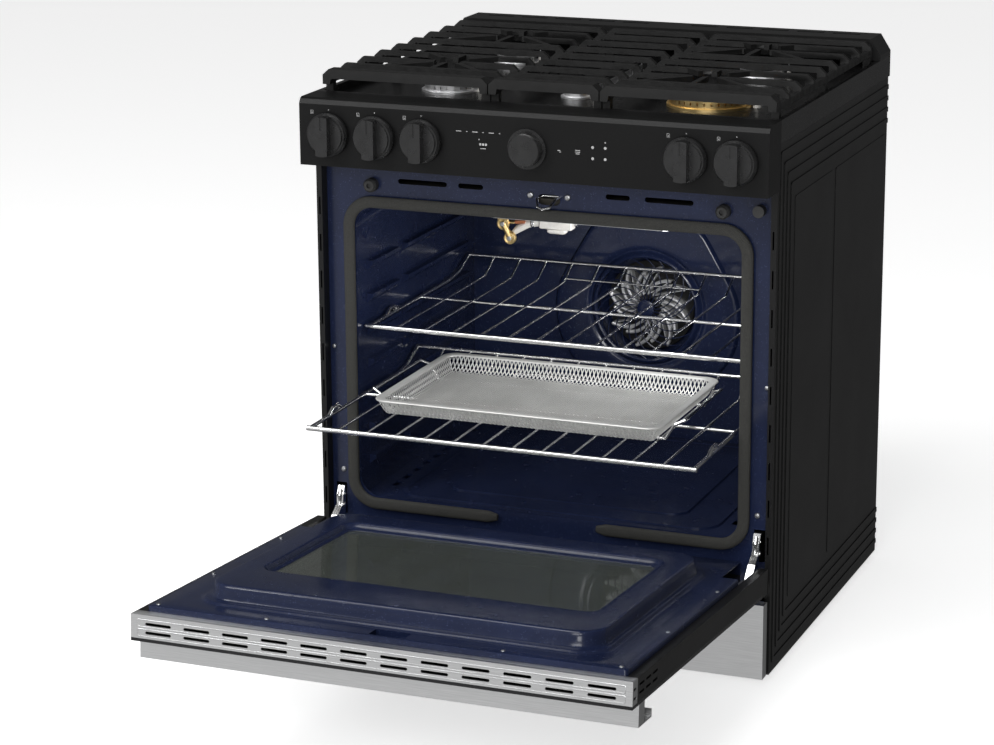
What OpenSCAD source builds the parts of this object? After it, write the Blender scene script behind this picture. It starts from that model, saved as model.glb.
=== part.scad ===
// Freestanding slide-in gas range, 30 inch class, door held open.
// X right seen from the front, Y towards the back, Z up. Z = 0 is the floor,
// X = 0 the width centre. The door sits at its open stop, the lower rack is out.

/* [Body] */
// Outer width of the cooktop and fascia
body_w = 760; // [756:1:764]
// Height of the cooktop rim
rim_z = 885.8; // [884:0.2:888]
// Y of the blue front frame's face
frame_y = -299; // [-300:0.5:-298]
// Y of the back edge of the cooktop
back_y = 329; // [328:0.5:330]
// Underside of the side panels
panel_z0 = 14; // [13:0.5:15]
// Sheet metal thickness of the body
sheet = 1.2; // [1:0.1:1.3]

/* [Oven] */
// Half width of the cavity
cav_x = 320; // [319:0.5:321]
// Cavity floor height
cav_z0 = 222; // [221:0.5:223]
// Cavity ceiling height
cav_z1 = 706; // [705:0.5:707]
// Y of the cavity's back wall
cav_y = 195; // [194:0.5:196]
// Pitch between rack levels
rack_pitch = 54; // [53.9:0.05:54]
// Wire radius of the rack side rails
rack_r = 3.2; // [3:0.1:3.3]
// How far the lower rack is drawn out
rack_out = 228; // [220:1:228]

/* [Door] */
// Opening angle of the door at its stop
door_open = 85.94; // [85:0.01:86]
// Hinge pin radius
pin_r = 4; // [3.5:0.1:4]
// Radial running clearance of pins and shafts
run_c = 0.05; // [0.03:0.01:0.08]
// Half width of the viewing window
win_x = 251; // [240:1:252]

/* [Controls] */
// Radius of a burner knob's skirt
knob_r = 34; // [32:0.5:34.5]
// Radius of the selector dial
dial_r = 26; // [24:0.5:27]
// Radius of a valve stem
stem_r = 3; // [2.8:0.1:3.2]

/* [Cooktop] */
// Top of the grates
grate_z = 920; // [918:0.5:921]
// Width of a grate bar
bar_w = 9; // [8:0.5:10]
// Pitch of the cross bars
bar_pitch = 68; // [66:0.5:68]

/* [Drawer] */
// Top edge of the drawer front
drawer_z1 = 136; // [134:0.5:137]
// Half width of the drawer front
drawer_x = 376; // [374:0.5:377]

/* [Hidden] */
$fn = 48;
eps = 0.01;
half_w = body_w / 2;
side_x = half_w - 1.8;          // outer face of the side panels
strip_y = frame_y - 20;         // front of the side panels' black strips
skirt_z = 850.6;                // underside of the cooktop skirt
fas_y = frame_y - 72.6;         // front of the control fascia
fas_z0 = 779.5;                 // underside of the fascia
fas_back = frame_y - 12;        // back of the fascia, front of the cooktop
pan_z = 872;                    // recessed burner pan
rear_y = 324;                   // inner face of the rear panel
knob_z = 830.5;
knob_x = [-330, -252, -174, 252, 330];
hinge_y = frame_y - 58.5;
hinge_z = 162;
fan_z = 449;
level = function (n) 285.5 + n * rack_pitch;
low_z = level(2);
up_z = level(4);
rack_y0 = -275;
rack_y1 = 150;
burners = [[-213, -160, 41], [-213, 130, 33], [217, 130, 36]];
brass_c = [217, -150];

black = [0.06, 0.06, 0.065];
enamel = [0.09, 0.12, 0.26];
steel = [0.72, 0.73, 0.75];
bright = [0.85, 0.86, 0.88];
iron = [0.09, 0.09, 0.09];
grey = [0.35, 0.35, 0.36];

// ---- helpers ----
module box(x0, x1, y0, y1, z0, z1) translate([x0, y0, z0]) cube([x1 - x0, y1 - y0, z1 - z0]);
module both() { children(); mirror([1, 0, 0]) children(); }
module rod_x(x0, x1, y, z, r) translate([x0, y, z]) rotate([0, 90, 0]) cylinder(r = r, h = x1 - x0);
module rod_y(x, y0, y1, z, r) translate([x, y0, z]) rotate([-90, 0, 0]) cylinder(r = r, h = y1 - y0);
module rod_z(x, y, z0, z1, r) translate([x, y, z0]) cylinder(r = r, h = z1 - z0);
// round bar from a to b, run on a little at both ends so that bends close
module rod(a, b, r, run = 0.3) {
  v = b - a;
  l = norm(v);
  u = v / l;
  translate(a - u * r * run) rotate([0, acos(u[2]), atan2(u[1], u[0])])
    cylinder(r = r, h = l + 2 * r * run);
}
module path(p, r, run = 0.3) for (i = [0:len(p) - 2]) rod(p[i], p[i + 1], r, run);
module rrect(x0, x1, y0, y1, r) {
  translate([x0 + r, y0]) square([x1 - x0 - 2 * r, y1 - y0]);
  translate([x0, y0 + r]) square([x1 - x0, y1 - y0 - 2 * r]);
  for (x = [x0 + r, x1 - r]) for (y = [y0 + r, y1 - r]) translate([x, y]) circle(r = r);
}
// outlines drawn in X and Z, thick along Y
module xz(y0, y1) translate([0, y1, 0]) rotate([90, 0, 0]) linear_extrude(y1 - y0) children();
// outlines drawn in Y and Z, thick along X
module yz(x0, x1) translate([x0, 0, 0]) rotate([90, 0, 90]) linear_extrude(x1 - x0) children();
// outlines drawn in X and Y, thick along Z
module xy(z0, z1) translate([0, 0, z0]) linear_extrude(z1 - z0) children();
module slot_x(x0, x1, y0, y1, z, r) {
  rod_y(x0 + r, y0, y1, z, r);
  rod_y(x1 - r, y0, y1, z, r);
  box(x0 + r, x1 - r, y0, y1, z - r, z + r);
}
module door_pose() translate([0, hinge_y, hinge_z]) rotate([door_open, 0, 0])
  translate([0, -hinge_y, -hinge_z]) children();

// ---- body shell ----
// one pressed side: a skin, a front strip column, and raised C-shaped ribs
module side_panel() {
  n_rib = 4;
  rib_w = 8;
  rib_pitch = 19;
  rib_h = 1.4;
  z1 = skirt_z;
  box(side_x - sheet, side_x, strip_y, rear_y + 2, panel_z0, fas_z0);
  box(side_x - sheet, side_x, fas_back, rear_y + 2, fas_z0, z1);
  difference() {
    box(side_x - 9.2, side_x - sheet, strip_y, strip_y + sheet, panel_z0, fas_z0);
    for (i = [0:9]) box(side_x - 6.4, side_x - 3.8, strip_y - 1, strip_y + 3,
      150 + i * 60, 178 + i * 60);
  }
  box(side_x - 9.2, side_x - 8, strip_y + sheet, frame_y + 14, panel_z0, fas_z0);
  box(side_x - 12, side_x - sheet, rear_y - 8, rear_y - 6.8, panel_z0 + 20, z1 - 20);
  for (i = [0:n_rib - 1]) {
    a = 14 + i * rib_pitch;
    yz(side_x, side_x + rib_h) difference() {
      rrect(strip_y + a, rear_y + 60, panel_z0 + a, z1 - a, 6);
      rrect(strip_y + a + rib_w, rear_y + 90, panel_z0 + a + rib_w, z1 - a - rib_w, 4);
      translate([rear_y + 2, 0]) square([100, z1 + 10]);
    }
  }
  inset = 14 + n_rib * rib_pitch + 6;
  yz(side_x, side_x + 0.8) {
    rrect(strip_y + inset, -10, panel_z0 + inset, z1 - inset, 6);
    rrect(6, rear_y - 10, panel_z0 + inset, z1 - inset, 6);
  }
}
module side_panel_right() color(black) side_panel();
module side_panel_left() color(black) mirror([1, 0, 0]) side_panel();

inlet_p = [300, 80];            // x and z of the gas inlet
cord_p = [-300, 120];           // x and z of the power cord inlet
module rear_panel() color(grey) {
  difference() {
    box(-side_x + sheet, side_x - sheet, rear_y, rear_y + sheet, panel_z0, skirt_z);
    xz(rear_y - 1, rear_y + 3) rrect(inlet_p[0] - 60, inlet_p[0] + 60, inlet_p[1] - 38,
      inlet_p[1] + 40, 8);
    rod_y(cord_p[0], rear_y - 1, rear_y + 3, cord_p[1], 12);
    for (i = [-4:4]) slot_x(i * 70 - 26, i * 70 + 26, rear_y - 1, rear_y + 3, 790, 4);
    for (i = [-3:3]) slot_x(i * 70 - 26, i * 70 + 26, rear_y - 1, rear_y + 3, 770, 4);
    for (i = [-1:1]) slot_x(i * 60 - 22, i * 60 + 22, rear_y - 1, rear_y + 3, 380, 4);
  }
  // strain relief bushing of the power cord
  difference() {
    union() {
      rod_y(cord_p[0], rear_y - 4, rear_y + 5, cord_p[1], 11.9);
      rod_y(cord_p[0], rear_y + sheet, rear_y + 4, cord_p[1], 15);
    }
    rod_y(cord_p[0], rear_y - 5, rear_y + 6, cord_p[1], 8);
  }
  both() for (z = [250, 550]) xz(rear_y + sheet, rear_y + 3)
    rrect(60, 330, z, z + 220, 10);
}

leg_p = [[-330, -255], [330, -255], [-330, 285], [330, 285]];
leg_r = 4.95;
module base_frame() color(black) {
  xi = side_x - sheet;
  difference() {
    union() {
      box(-xi + 8, xi - 8, strip_y + 22, strip_y + 50, panel_z0, panel_z0 + 2);
      box(-xi + 8, xi - 8, strip_y + 48, strip_y + 50, panel_z0 + 2, panel_z0 + 14);
      box(-xi, xi, rear_y - 50, rear_y, panel_z0, panel_z0 + 2);
      box(-xi, xi, rear_y - 50, rear_y - 48, panel_z0 + 2, panel_z0 + 14);
      both() box(xi - 62, xi, strip_y + 50, rear_y - 50, panel_z0, panel_z0 + 2);
      both() box(xi - 62, xi - 60, strip_y + 50, rear_y - 50, panel_z0 + 2, panel_z0 + 10);
      for (p = leg_p) translate([p[0], p[1], panel_z0]) cylinder(r = 11, h = 17);
      for (p = leg_p) if (p[1] < 0) box(p[0] - 20, p[0] + 20, -297, -230, panel_z0, panel_z0 + 2);
    }
    for (p = leg_p) rod_z(p[0], p[1], panel_z0 - 1, panel_z0 + 18, leg_r + run_c);
  }
  // deck between drawer and oven
  box(-xi, xi, frame_y + 14.1, rear_y - 85, 140, 141.5);
}

vents = [[-246, -163], [-144, -102], [100, 139], [163, 241]];
bump_p = [290, 740];
switch_p = [347, 745];
module front_frame() color(enamel) difference() {
  union() {
    box(-side_x + 9.3, side_x - 9.3, frame_y, frame_y + 1.5, 138, fas_z0);
    box(-side_x + 9.3, side_x - 9.3, frame_y + 1.5, frame_y + 12, fas_z0 - 1.5, fas_z0);
    box(-side_x + 9.3, side_x - 9.3, frame_y + 1.5, frame_y + 3, 138, 145);
  }
  xz(frame_y - 1, frame_y + 1.6) rrect(-cav_x, cav_x, 224, 704, 35);
  both() box(345, 363, frame_y - 1, frame_y + 4, 190, 242);
  for (v = vents) slot_x(v[0], v[1], frame_y - 1, frame_y + 4, 748, 4);
  rod_y(switch_p[0], frame_y - 1, frame_y + 4, switch_p[1], 9.1);
  both() rod_y(bump_p[0], frame_y - 1, frame_y + 4, bump_p[1], 4);
  slot_x(-11, 26, frame_y - 1, frame_y + 4, 736.5, 8.5);
}

// ---- oven ----
module oven_liner() color(enamel) {
  t = sheet;
  z0 = 186;
  difference() {
    union() {
      xz(frame_y + 1.5, cav_y + t) rrect(-cav_x - t, cav_x + t, z0 - t, cav_z1 + t, 38 + t);
      rod_y(0, cav_y + t - 1, cav_y + 42, fan_z, 100 + t);
    }
    xz(frame_y, cav_y) rrect(-cav_x, cav_x, z0, cav_z1, 38);
    rod_y(0, cav_y - 1, cav_y + 42 - t, fan_z, 100);
    rod_y(0, cav_y + 35, cav_y + 50, fan_z, 14);
  }
  // ledge that carries the oven floor
  both() box(cav_x - 16, cav_x + 0.5, frame_y + 4, cav_y + 0.5, cav_z0 - 5, cav_z0 - 3.4);
}

// runners the racks slide on, in two lengths a level, bevelled below
module rack_runners() color(enamel) both() for (i = [0:6]) {
  z = level(i) - rack_r - 0.5;
  for (s = [[-262, -150], [-120, 150]])
    xz(s[0], s[1]) polygon([[cav_x - 11, z], [cav_x, z], [cav_x, z - 15], [cav_x - 11, z - 6]]);
}

module oven_floor() color(enamel) {
  x = cav_x - 0.5;
  y0 = frame_y + 3;
  y1 = cav_y - 0.5;
  difference() {
    box(-x, x, y0, y1, cav_z0 - 3.2, cav_z0);
    for (s = [-1, 1]) for (i = [0:8]) slot_x(s * 292 - 1.5, s * 292 + 1.5, -230 + i * 42, -210 + i * 42,
      cav_z0 - 1.6, 0.4);
    for (s = [-1, 1]) for (i = [0:8]) box(s * 292 - 5, s * 292 + 5, -230 + i * 42, -204 + i * 42,
      cav_z0 - 5, cav_z0 + 1);
  }
  xy(cav_z0, cav_z0 + 2.5) difference() {
    rrect(-272, 272, y0 + 22, y1 - 14, 40);
    rrect(-262, 262, y0 + 32, y1 - 24, 32);
  }
  xy(cav_z0, cav_z0 + 2.5) rrect(-205, 205, y0 + 78, y1 - 70, 30);
}

module oven_gasket() color([0.2, 0.2, 0.17]) difference() {
  xz(frame_y - 10.5, frame_y) rrect(-339, 339, 203, 722, 48);
  xz(frame_y - 11.5, frame_y + 1) rrect(-320, 320, 225, 703, 34);
  box(-80, 88, frame_y - 12, frame_y + 1, 200, 224);
}

module fan_cover() color(enamel) {
  y0 = cav_y - 7;
  difference() {
    xz(y0, cav_y) polygon([[-150, 330], [150, 330], [172, 372], [160, 470], [96, 588], [74, 602],
      [-74, 602], [-96, 588], [-160, 470], [-172, 372]]);
    xz(y0 + 1.2, cav_y + 1) polygon([[-148, 332], [148, 332], [170, 373], [158, 469], [94, 586],
      [73, 600], [-73, 600], [-94, 586], [-158, 469], [-170, 373]]);
    rod_y(0, y0 - 1, cav_y, fan_z, 88);
  }
  // raised ring round the opening
  translate([0, y0 + 0.4, fan_z]) rotate([90, 0, 0]) rotate_extrude() translate([93, 0]) circle(r = 5);
  // guard of slanting bars
  n = 22;
  rod_y(0, y0 - 2, y0 + 1, fan_z, 17);
  for (i = [0:n - 1]) {
    a = i * 360 / n;
    rod([14 * cos(a), y0 - 0.5, fan_z + 14 * sin(a)],
        [91 * cos(a + 22), y0 + 1.5, fan_z + 91 * sin(a + 22)], 1.5);
  }
}

module convection_fan() color(bright) {
  y0 = cav_y + 3;
  n = 14;
  difference() {
    union() {
      rod_y(0, y0 - 1, y0 + 22, fan_z, 11);
      rod_y(0, y0 + 19, y0 + 20.5, fan_z, 78);
      for (i = [0:n - 1]) translate([0, 0, fan_z]) rotate([0, i * 360 / n, 0]) {
        rotate([0, 12, 0]) box(9, 44, y0, y0 + 19.5, -1, 1);
        translate([42.5, 0, 9]) rotate([0, -14, 0]) box(0, 33, y0, y0 + 19.5, -1, 1);
        translate([42.5, 0, 9]) rod_y(0, y0, y0 + 19.5, 0, 1.2);
      }
    }
    rod_y(0, y0 - 2, y0 + 23, fan_z, stem_r + run_c);
  }
}
module fan_motor() color(grey) {
  y0 = cav_y + 4;
  rod_y(0, y0, y0 + 60, fan_z, stem_r);
  difference() {
    rod_y(0, cav_y + 52, cav_y + 98, fan_z, 38);
    for (i = [0:5]) rotate([0, 0, 0]) translate([0, 0, fan_z]) rotate([0, i * 60, 0])
      box(30, 34, cav_y + 60, cav_y + 90, -8, 8);
  }
  box(-62, 62, cav_y + 98, cav_y + 101, fan_z - 12, fan_z + 12);
  both() box(59, 62, cav_y + 42, cav_y + 98, fan_z - 12, fan_z + 12);
}
module oven_burners() color(steel) {
  // bake burner under the oven floor: a feed tube and two side arms
  z = 203;
  rod_y(0, frame_y + 40, cav_y - 20, z, 9);
  both() path([[0, frame_y + 60, z], [180, frame_y + 60, z], [180, 120, z], [0, 120, z]], 8);
  for (y = [-240, 160]) both() box(150, 156, y, y + 6, 186, z);
  // broil burner under the ceiling: flat pressed body with a lip all round
  difference() {
    xy(672, 690) rrect(-150, 170, -175, 70, 20);
    xy(671, 676) rrect(-140, 160, -165, 60, 14);
  }
  rod_y(0, 60, cav_y, 682, 9);
  both() for (y = [-150, 40]) box(100, 112, y, y + 12, 690, cav_z1);
}
ign_y = -60;
module broil_igniter() color([0.8, 0.65, 0.3]) {
  difference() {
    box(-166, -140, ign_y - 14, ign_y + 14, 640, 643);
    for (s = [-8, 8]) rod_z(-153, ign_y + s, 638, 645, 2);
  }
  box(-166, -163, ign_y - 14, ign_y + 14, 643, 671.8);
  for (s = [-8, 8]) rod_z(-153, ign_y + s, 632, 640, 6);
  box(-144, -88, ign_y - 5, ign_y + 5, 643, 652);
  box(-90, -40, ign_y - 11, ign_y + 11, 636, 656);
  rod_x(-40, 30, ign_y, 650, 3);
  rod([30, ign_y, 650], [48, ign_y, 668], 3);
}

module insulation() color([0.85, 0.8, 0.55]) {
  x = cav_x + 14;
  difference() {
    box(-x, x, frame_y + 9, cav_y + 38, 152, cav_z1 + 30);
    xz(frame_y, cav_y + sheet + 0.5) rrect(-cav_x - 1.7, cav_x + 1.7, 184, cav_z1 + 1.7, 39);
    rod_y(0, cav_y, cav_y + 60, fan_z, 102);
  }
}

// ---- cooktop ----
module cooktop_pan() color(black) difference() {
  box(-half_w, half_w, fas_back, back_y, skirt_z, rim_z);
  xy(pan_z, rim_z + 1) rrect(-half_w + 9, half_w - 9, fas_back + 8, back_y - 9, 8);
  box(-half_w + 2, half_w - 2, fas_back + 2, back_y - 2, skirt_z - 1, pan_z - 1.5);
  for (b = burners) rod_z(b[0], b[1], pan_z - 3, pan_z + 1, 24);
  rod_z(brass_c[0], brass_c[1], pan_z - 3, pan_z + 1, 40);
  for (y = [-140, 80]) rod_z(0, y, pan_z - 3, pan_z + 1, 14);
}
module rear_vent_trim() color(black) {
  y0 = back_y - 67;
  y1 = back_y;
  c = 17;
  x1 = half_w;
  difference() {
    xz(y0, y1) polygon([[-x1, rim_z], [-x1, 894], [-x1 + c, 921], [x1 - c, 921],
      [x1, 894], [x1, rim_z]]);
    xz(y0 + 2, y1 - 2) polygon([[-x1 + 2, rim_z - 1], [-x1 + 2, 893.5], [-x1 + c + 1, 919],
      [x1 - c - 1, 919], [x1 - 2, 893.5], [x1 - 2, rim_z - 1]]);
    for (i = [-5:5]) if (i != 0) xy(916, 922) translate([i * 62, 0])
      rrect(-24, 24, y1 - 28, y1 - 18, 4.9);
    for (i = [-5:5]) xz(y0 - 1, y0 + 3) rrect(i * 62 - 24, i * 62 + 24, 896, 908, 5);
  }
}
module burner_heads() color([0.75, 0.75, 0.77]) {
  for (b = burners) difference() {
    union() {
      rod_z(b[0], b[1], pan_z, pan_z + 3, b[2] + 5);
      rod_z(b[0], b[1], pan_z + 3, pan_z + 14, b[2]);
      rod_z(b[0], b[1], pan_z - 14, pan_z, 22);
    }
    for (i = [0:23]) translate([b[0], b[1], 0]) rotate([0, 0, i * 15])
      box(b[2] - 6, b[2] + 3, -1.1, 1.1, pan_z + 6, pan_z + 11);
    rod_z(b[0], b[1], pan_z - 15, pan_z + 8, 10);
  }
  // long oval burner in the middle
  difference() {
    union() {
      xy(pan_z, pan_z + 3) rrect(-26, 26, -179, 119, 25.9);
      xy(pan_z + 3, pan_z + 14) rrect(-22, 22, -175, 115, 21.9);
      for (y = [-140, 80]) rod_z(0, y, pan_z - 14, pan_z, 12);
    }
    for (i = [-11:9]) box(-24, 24, i * 12 - 1.1, i * 12 + 1.1, pan_z + 6, pan_z + 11);
  }
}
module brass_burner() color([0.8, 0.6, 0.25]) translate([brass_c[0], brass_c[1], 0]) {
  difference() {
    union() {
      rod_z(0, 0, pan_z, pan_z + 4, 67);
      rod_z(0, 0, pan_z + 4, pan_z + 17, 63);
      rod_z(0, 0, pan_z - 14, pan_z, 38);
    }
    rod_z(0, 0, pan_z + 4, pan_z + 18, 46);
    rod_z(0, 0, pan_z - 15, pan_z + 6, 8);
    for (i = [0:35]) rotate([0, 0, i * 10]) box(44, 70, -1.2, 1.2, pan_z + 8, pan_z + 13);
  }
  difference() {
    rod_z(0, 0, pan_z + 3, pan_z + 15, 26);
    rod_z(0, 0, pan_z - 15, pan_z + 8, 8);
    for (i = [0:17]) rotate([0, 0, i * 20]) box(21, 28, -1, 1, pan_z + 7, pan_z + 11);
  }
}
module burner_caps() color(iron) {
  for (b = burners) {
    rod_z(b[0], b[1], pan_z + 14, pan_z + 18, b[2] - 3);
    translate([b[0], b[1], pan_z + 18]) cylinder(r1 = b[2] - 3, r2 = b[2] - 7, h = 2);
  }
  xy(pan_z + 14, pan_z + 18) rrect(-20, 20, -172, 112, 19.9);
  xy(pan_z + 18, pan_z + 20) rrect(-17, 17, -169, 109, 16.9);
  translate([brass_c[0], brass_c[1], 0]) {
    difference() {
      rod_z(0, 0, pan_z + 17, pan_z + 21, 61);
      rod_z(0, 0, pan_z + 16, pan_z + 22, 48);
    }
    rod_z(0, 0, pan_z + 15, pan_z + 20, 24);
  }
}

// one cast grate: side rails on feet, cross bars, and fingers over each burner
grate_low = grate_z - 15;
grate_drop = 9;
bar_z = grate_z - 8;
hub_gap = 22;
// a cross bar with sloping ends, left open over a burner hub
module grate_bar(x0, x1, cx, hubs, y, w, under) {
  near = [for (h = hubs) if (abs(h - y) < 30) 1];
  runs = len(near) > 0 ? [[x0 + 10, cx - hub_gap], [cx + hub_gap, x1 - 10]] : [[x0 + 10, x1 - 10]];
  for (s = runs) box(s[0], s[1], y - w / 2, y + w / 2, under, grate_z);
  for (m = [[x0, 0], [x1, 1]]) translate([m[0], 0, 0]) mirror([m[1], 0, 0])
    xz(y - w / 2, y + w / 2) polygon([[0, grate_low - grate_drop], [12, grate_low - grate_drop],
      [14, grate_low], [14, grate_z], [10, grate_z], [0, grate_z - grate_drop]]);
}
// distance from a hub to the first bar more than 35 away on side s
function reach(h, y0, s) = min([for (i = [1:8]) let (d = s * (y0 + i * bar_pitch - h)) if (d > 35) d]);
module grate(x0, x1, cx, hubs) color(iron) {
  y0 = -305;
  y1 = 246;
  foot = pan_z + 0.1;
  grate_bar(x0, x1, cx, hubs, y0 + 11, 22, grate_low);
  for (i = [1:8]) grate_bar(x0, x1, cx, hubs, y0 + i * bar_pitch, bar_w, bar_z);
  for (x = [x0, x1 - 8]) box(x, x + 8, y0 + 2, y1, grate_low - grate_drop, grate_low + 1);
  // fingers toward each hub: two across the bars and four on the diagonals
  for (h = hubs) {
    for (s = [[h - reach(h, y0, -1), h - hub_gap], [h + hub_gap, h + reach(h, y0, 1)]])
      box(cx - bar_w / 2, cx + bar_w / 2, s[0], s[1], bar_z, grate_z);
    for (d = [[45, reach(h, y0, 1)], [135, reach(h, y0, 1)], [225, reach(h, y0, -1)], [315, reach(h, y0, -1)]])
      translate([cx, h, 0]) rotate([0, 0, d[0]])
        box(hub_gap * sqrt(2), d[1] * sqrt(2), -bar_w / 2, bar_w / 2, bar_z, grate_z);
  }
  for (x = [x0, x1 - 12]) for (y = [y0 + 13, -36, y1 - 14])
    box(x, x + 12, y, y + 12, foot, grate_low);
}
module grate_left() grate(-370, -92, -213, [-160, 130]);
module grate_centre() grate(-90, 90, 0, []);
module grate_right() grate(92, 370, 217, [-150, 130]);

// ---- controls ----
module control_fascia() color(black) difference() {
  yz(-half_w, half_w) polygon([[fas_y, fas_z0], [fas_y, 876.5], [fas_y + 4, rim_z - 2.5],
    [fas_y + 9, rim_z], [fas_back, rim_z], [fas_back, fas_z0]]);
  yz(-half_w + 2, half_w - 2) polygon([[fas_y + 2.5, fas_z0 + 2], [fas_y + 2.5, 875.5],
    [fas_y + 10, rim_z - 2], [fas_back + 1, rim_z - 2], [fas_back + 1, fas_z0 + 2]]);
  for (x = knob_x) rod_y(x, fas_y - 1, fas_y + 3, knob_z, stem_r + 2);
  rod_y(0, fas_y - 1, fas_y + 3, 829, stem_r + 2);
}
module gas_manifold() color(grey) {
  my = fas_back - 12;
  mz = 806;
  difference() {
    union() {
      rod_x(-350, 350, my, mz, 8);
      for (x = knob_x) {
        rod_y(x, fas_y + 24, fas_back - 2, knob_z, 13);
        box(x - 9, x + 9, my - 9, my + 9, mz, knob_z);
      }
    }
    for (x = knob_x) rod_y(x, fas_y + 20, fas_y + 50, knob_z, stem_r + run_c);
  }
  // feed down the back to the regulator
  rod_y(350, my, 300, mz, 6.5);
  rod_z(350, 300, 84, mz, 6.5);
  rod_x(inlet_p[0] + 20, 350, 300, 84, 6.5);
  for (p = [[350, my, mz], [350, 300, mz], [350, 300, 84]]) translate(p) sphere(r = 9.5);
  // burner tubes under the cooktop, front burners below and rear burners above
  ends = [[-213, -160, 832.5], [-213, 130, 840], [0, -140, 832.5], [217, 130, 840],
    [217, -150, 832.5]];
  for (i = [0:4]) {
    x = knob_x[i];
    e = ends[i];
    rod_y(x, fas_back - 9, e[1], e[2], 3);
    translate([x, e[1], e[2]]) sphere(r = 4);
    rod_x(min(x, e[0]), max(x, e[0]), e[1], e[2], 3);
    rod_z(e[0], e[1], e[2] - 5, 857.6, 5.5);
  }
}
// regulator on the end of the feed, with the threaded inlet
module gas_regulator() color(grey) {
  rod_y(inlet_p[0], 268, 303, 84, 20);
  rod_y(inlet_p[0], 262, 268, 84, 12);
  rod_y(inlet_p[0], 301, 322, inlet_p[1], 10.65);
}
module control_board() color([0.1, 0.35, 0.2]) {
  y = fas_y + 16;
  difference() {
    box(-125, 140, y, y + 1.8, 795, 868);
    both() for (z = [800, 863]) rod_y(118, y - 1, y + 3, z, 2);
  }
  rod_y(0, fas_y - 12, y, 829, stem_r);
  rod_y(0, y - 9, y, 829, 9);
  box(-112, -44, y - 12, y, 838, 862);
  box(44, 134, y - 9, y, 812, 858);
  for (x = [-90, 80, 110]) rod_y(x, y + 1.8, y + 14, 815, 6);
}
module valve_stem(i) color(steel) rod_y(knob_x[i], fas_y - 24, fas_y + 46, knob_z, stem_r);
module stem_left_front() valve_stem(0);
module stem_left_rear() valve_stem(1);
module stem_centre() valve_stem(2);
module stem_right_rear() valve_stem(3);
module stem_right_front() valve_stem(4);
// burner knob: skirt, drum and upright grip with a pointer notch at its top
module knob(i) color(black) translate([knob_x[i], 0, knob_z]) {
  ys = fas_y - 4;
  difference() {
    union() {
      rod_y(0, ys - 5, ys, 0, knob_r);
      translate([0, ys - 5, 0]) rotate([90, 0, 0]) cylinder(r1 = knob_r, r2 = knob_r - 3, h = 4);
      rod_y(0, ys - 12, ys - 9, 0, knob_r - 6);
      intersection() {
        box(-10, 10, ys - 26, ys - 8, -40, 40);
        rod_y(0, ys - 26, ys - 8, 0, knob_r - 3);
      }
    }
    rod_y(0, ys - 21, ys + 1, 0, stem_r + run_c);
    box(-1.5, 1.5, ys - 27, ys - 25, 10, 40);
  }
}
module knob_left_front() knob(0);
module knob_left_rear() knob(1);
module knob_centre() knob(2);
module knob_right_rear() knob(3);
module knob_right_front() knob(4);
module selector_dial() color(black) translate([0, 0, 829]) difference() {
  union() {
    rod_y(0, fas_y - 4, fas_y - 0.5, 0, 31);
    rod_y(0, fas_y - 16, fas_y - 4, 0, dial_r);
    translate([0, fas_y - 16, 0]) rotate([90, 0, 0]) cylinder(r1 = dial_r, r2 = dial_r - 2, h = 2);
  }
  rod_y(0, fas_y - 13, fas_y, 0, stem_r + run_c);
}

// ---- racks ----
// y is the front bar, z the centre of the side wires
module rack(y, z) color(bright) {
  w = 312;
  b = y + rack_y1 - rack_y0;
  k = b - 46;
  top = z + 1.4;
  rise = 26;
  rod_x(-w - rack_r - 1.3, w + rack_r + 1.3, y, z, 4);
  rod_x(-w, w, y + 211, z - 0.7, 2.8);
  rod_x(-w - 1, w + 1, b, z + rise, rack_r + 0.3);
  both() path([[w, y, z], [w, k - 45, z], [w, k, z + 6], [w, b, z + rise]], rack_r);
  both() path([[w + 0.2, y + 70, z], [w + 0.2, y + 86, z + 9], [w + 0.2, y + 104, z + 9],
    [w + 0.2, y + 120, z]], rack_r - 0.4);
  for (i = [1:12]) {
    x = -w + i * 2 * w / 13;
    path([[x, y, top], [x, k, top], [x, b, z + rise]], 2);
  }
  rod_x(-120, 120, k + 9, z + 7, 1.7);
}
module upper_rack() rack(rack_y0, up_z);
module lower_rack() rack(rack_y0 - rack_out, low_z);

tray_y0 = -439;
tray_y1 = -128;
tray_z = 430;
carrier_r = 2.4;
carrier_z = low_z + 3.6 + carrier_r + 0.2;
module air_fry_tray() color(bright) {
  z0 = carrier_z + carrier_r + 0.1;
  x = 237;
  difference() {
    union() {
      xy(tray_z - 1.5, tray_z) rrect(-x, x, tray_y0, tray_y1, 24);
      xy(z0, tray_z - 1.5) rrect(-x + 11, x - 11, tray_y0 + 11, tray_y1 - 11, 16);
    }
    xy(z0 + 1.2, tray_z + 1) rrect(-x + 12.2, x - 12.2, tray_y0 + 12.2, tray_y1 - 12.2, 15);
  }
}
module tray_carrier() color(bright) {
  ya = -385;
  yb = -190;
  both() path([[0, ya, carrier_z], [228, ya, carrier_z], [243, ya, tray_z - 6], [257, ya + 6, tray_z],
    [257, yb - 6, tray_z], [243, yb, tray_z - 6], [228, yb, carrier_z], [0, yb, carrier_z]], carrier_r);
  both() path([[170, ya, carrier_z], [170, yb, carrier_z]], carrier_r);
}

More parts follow.
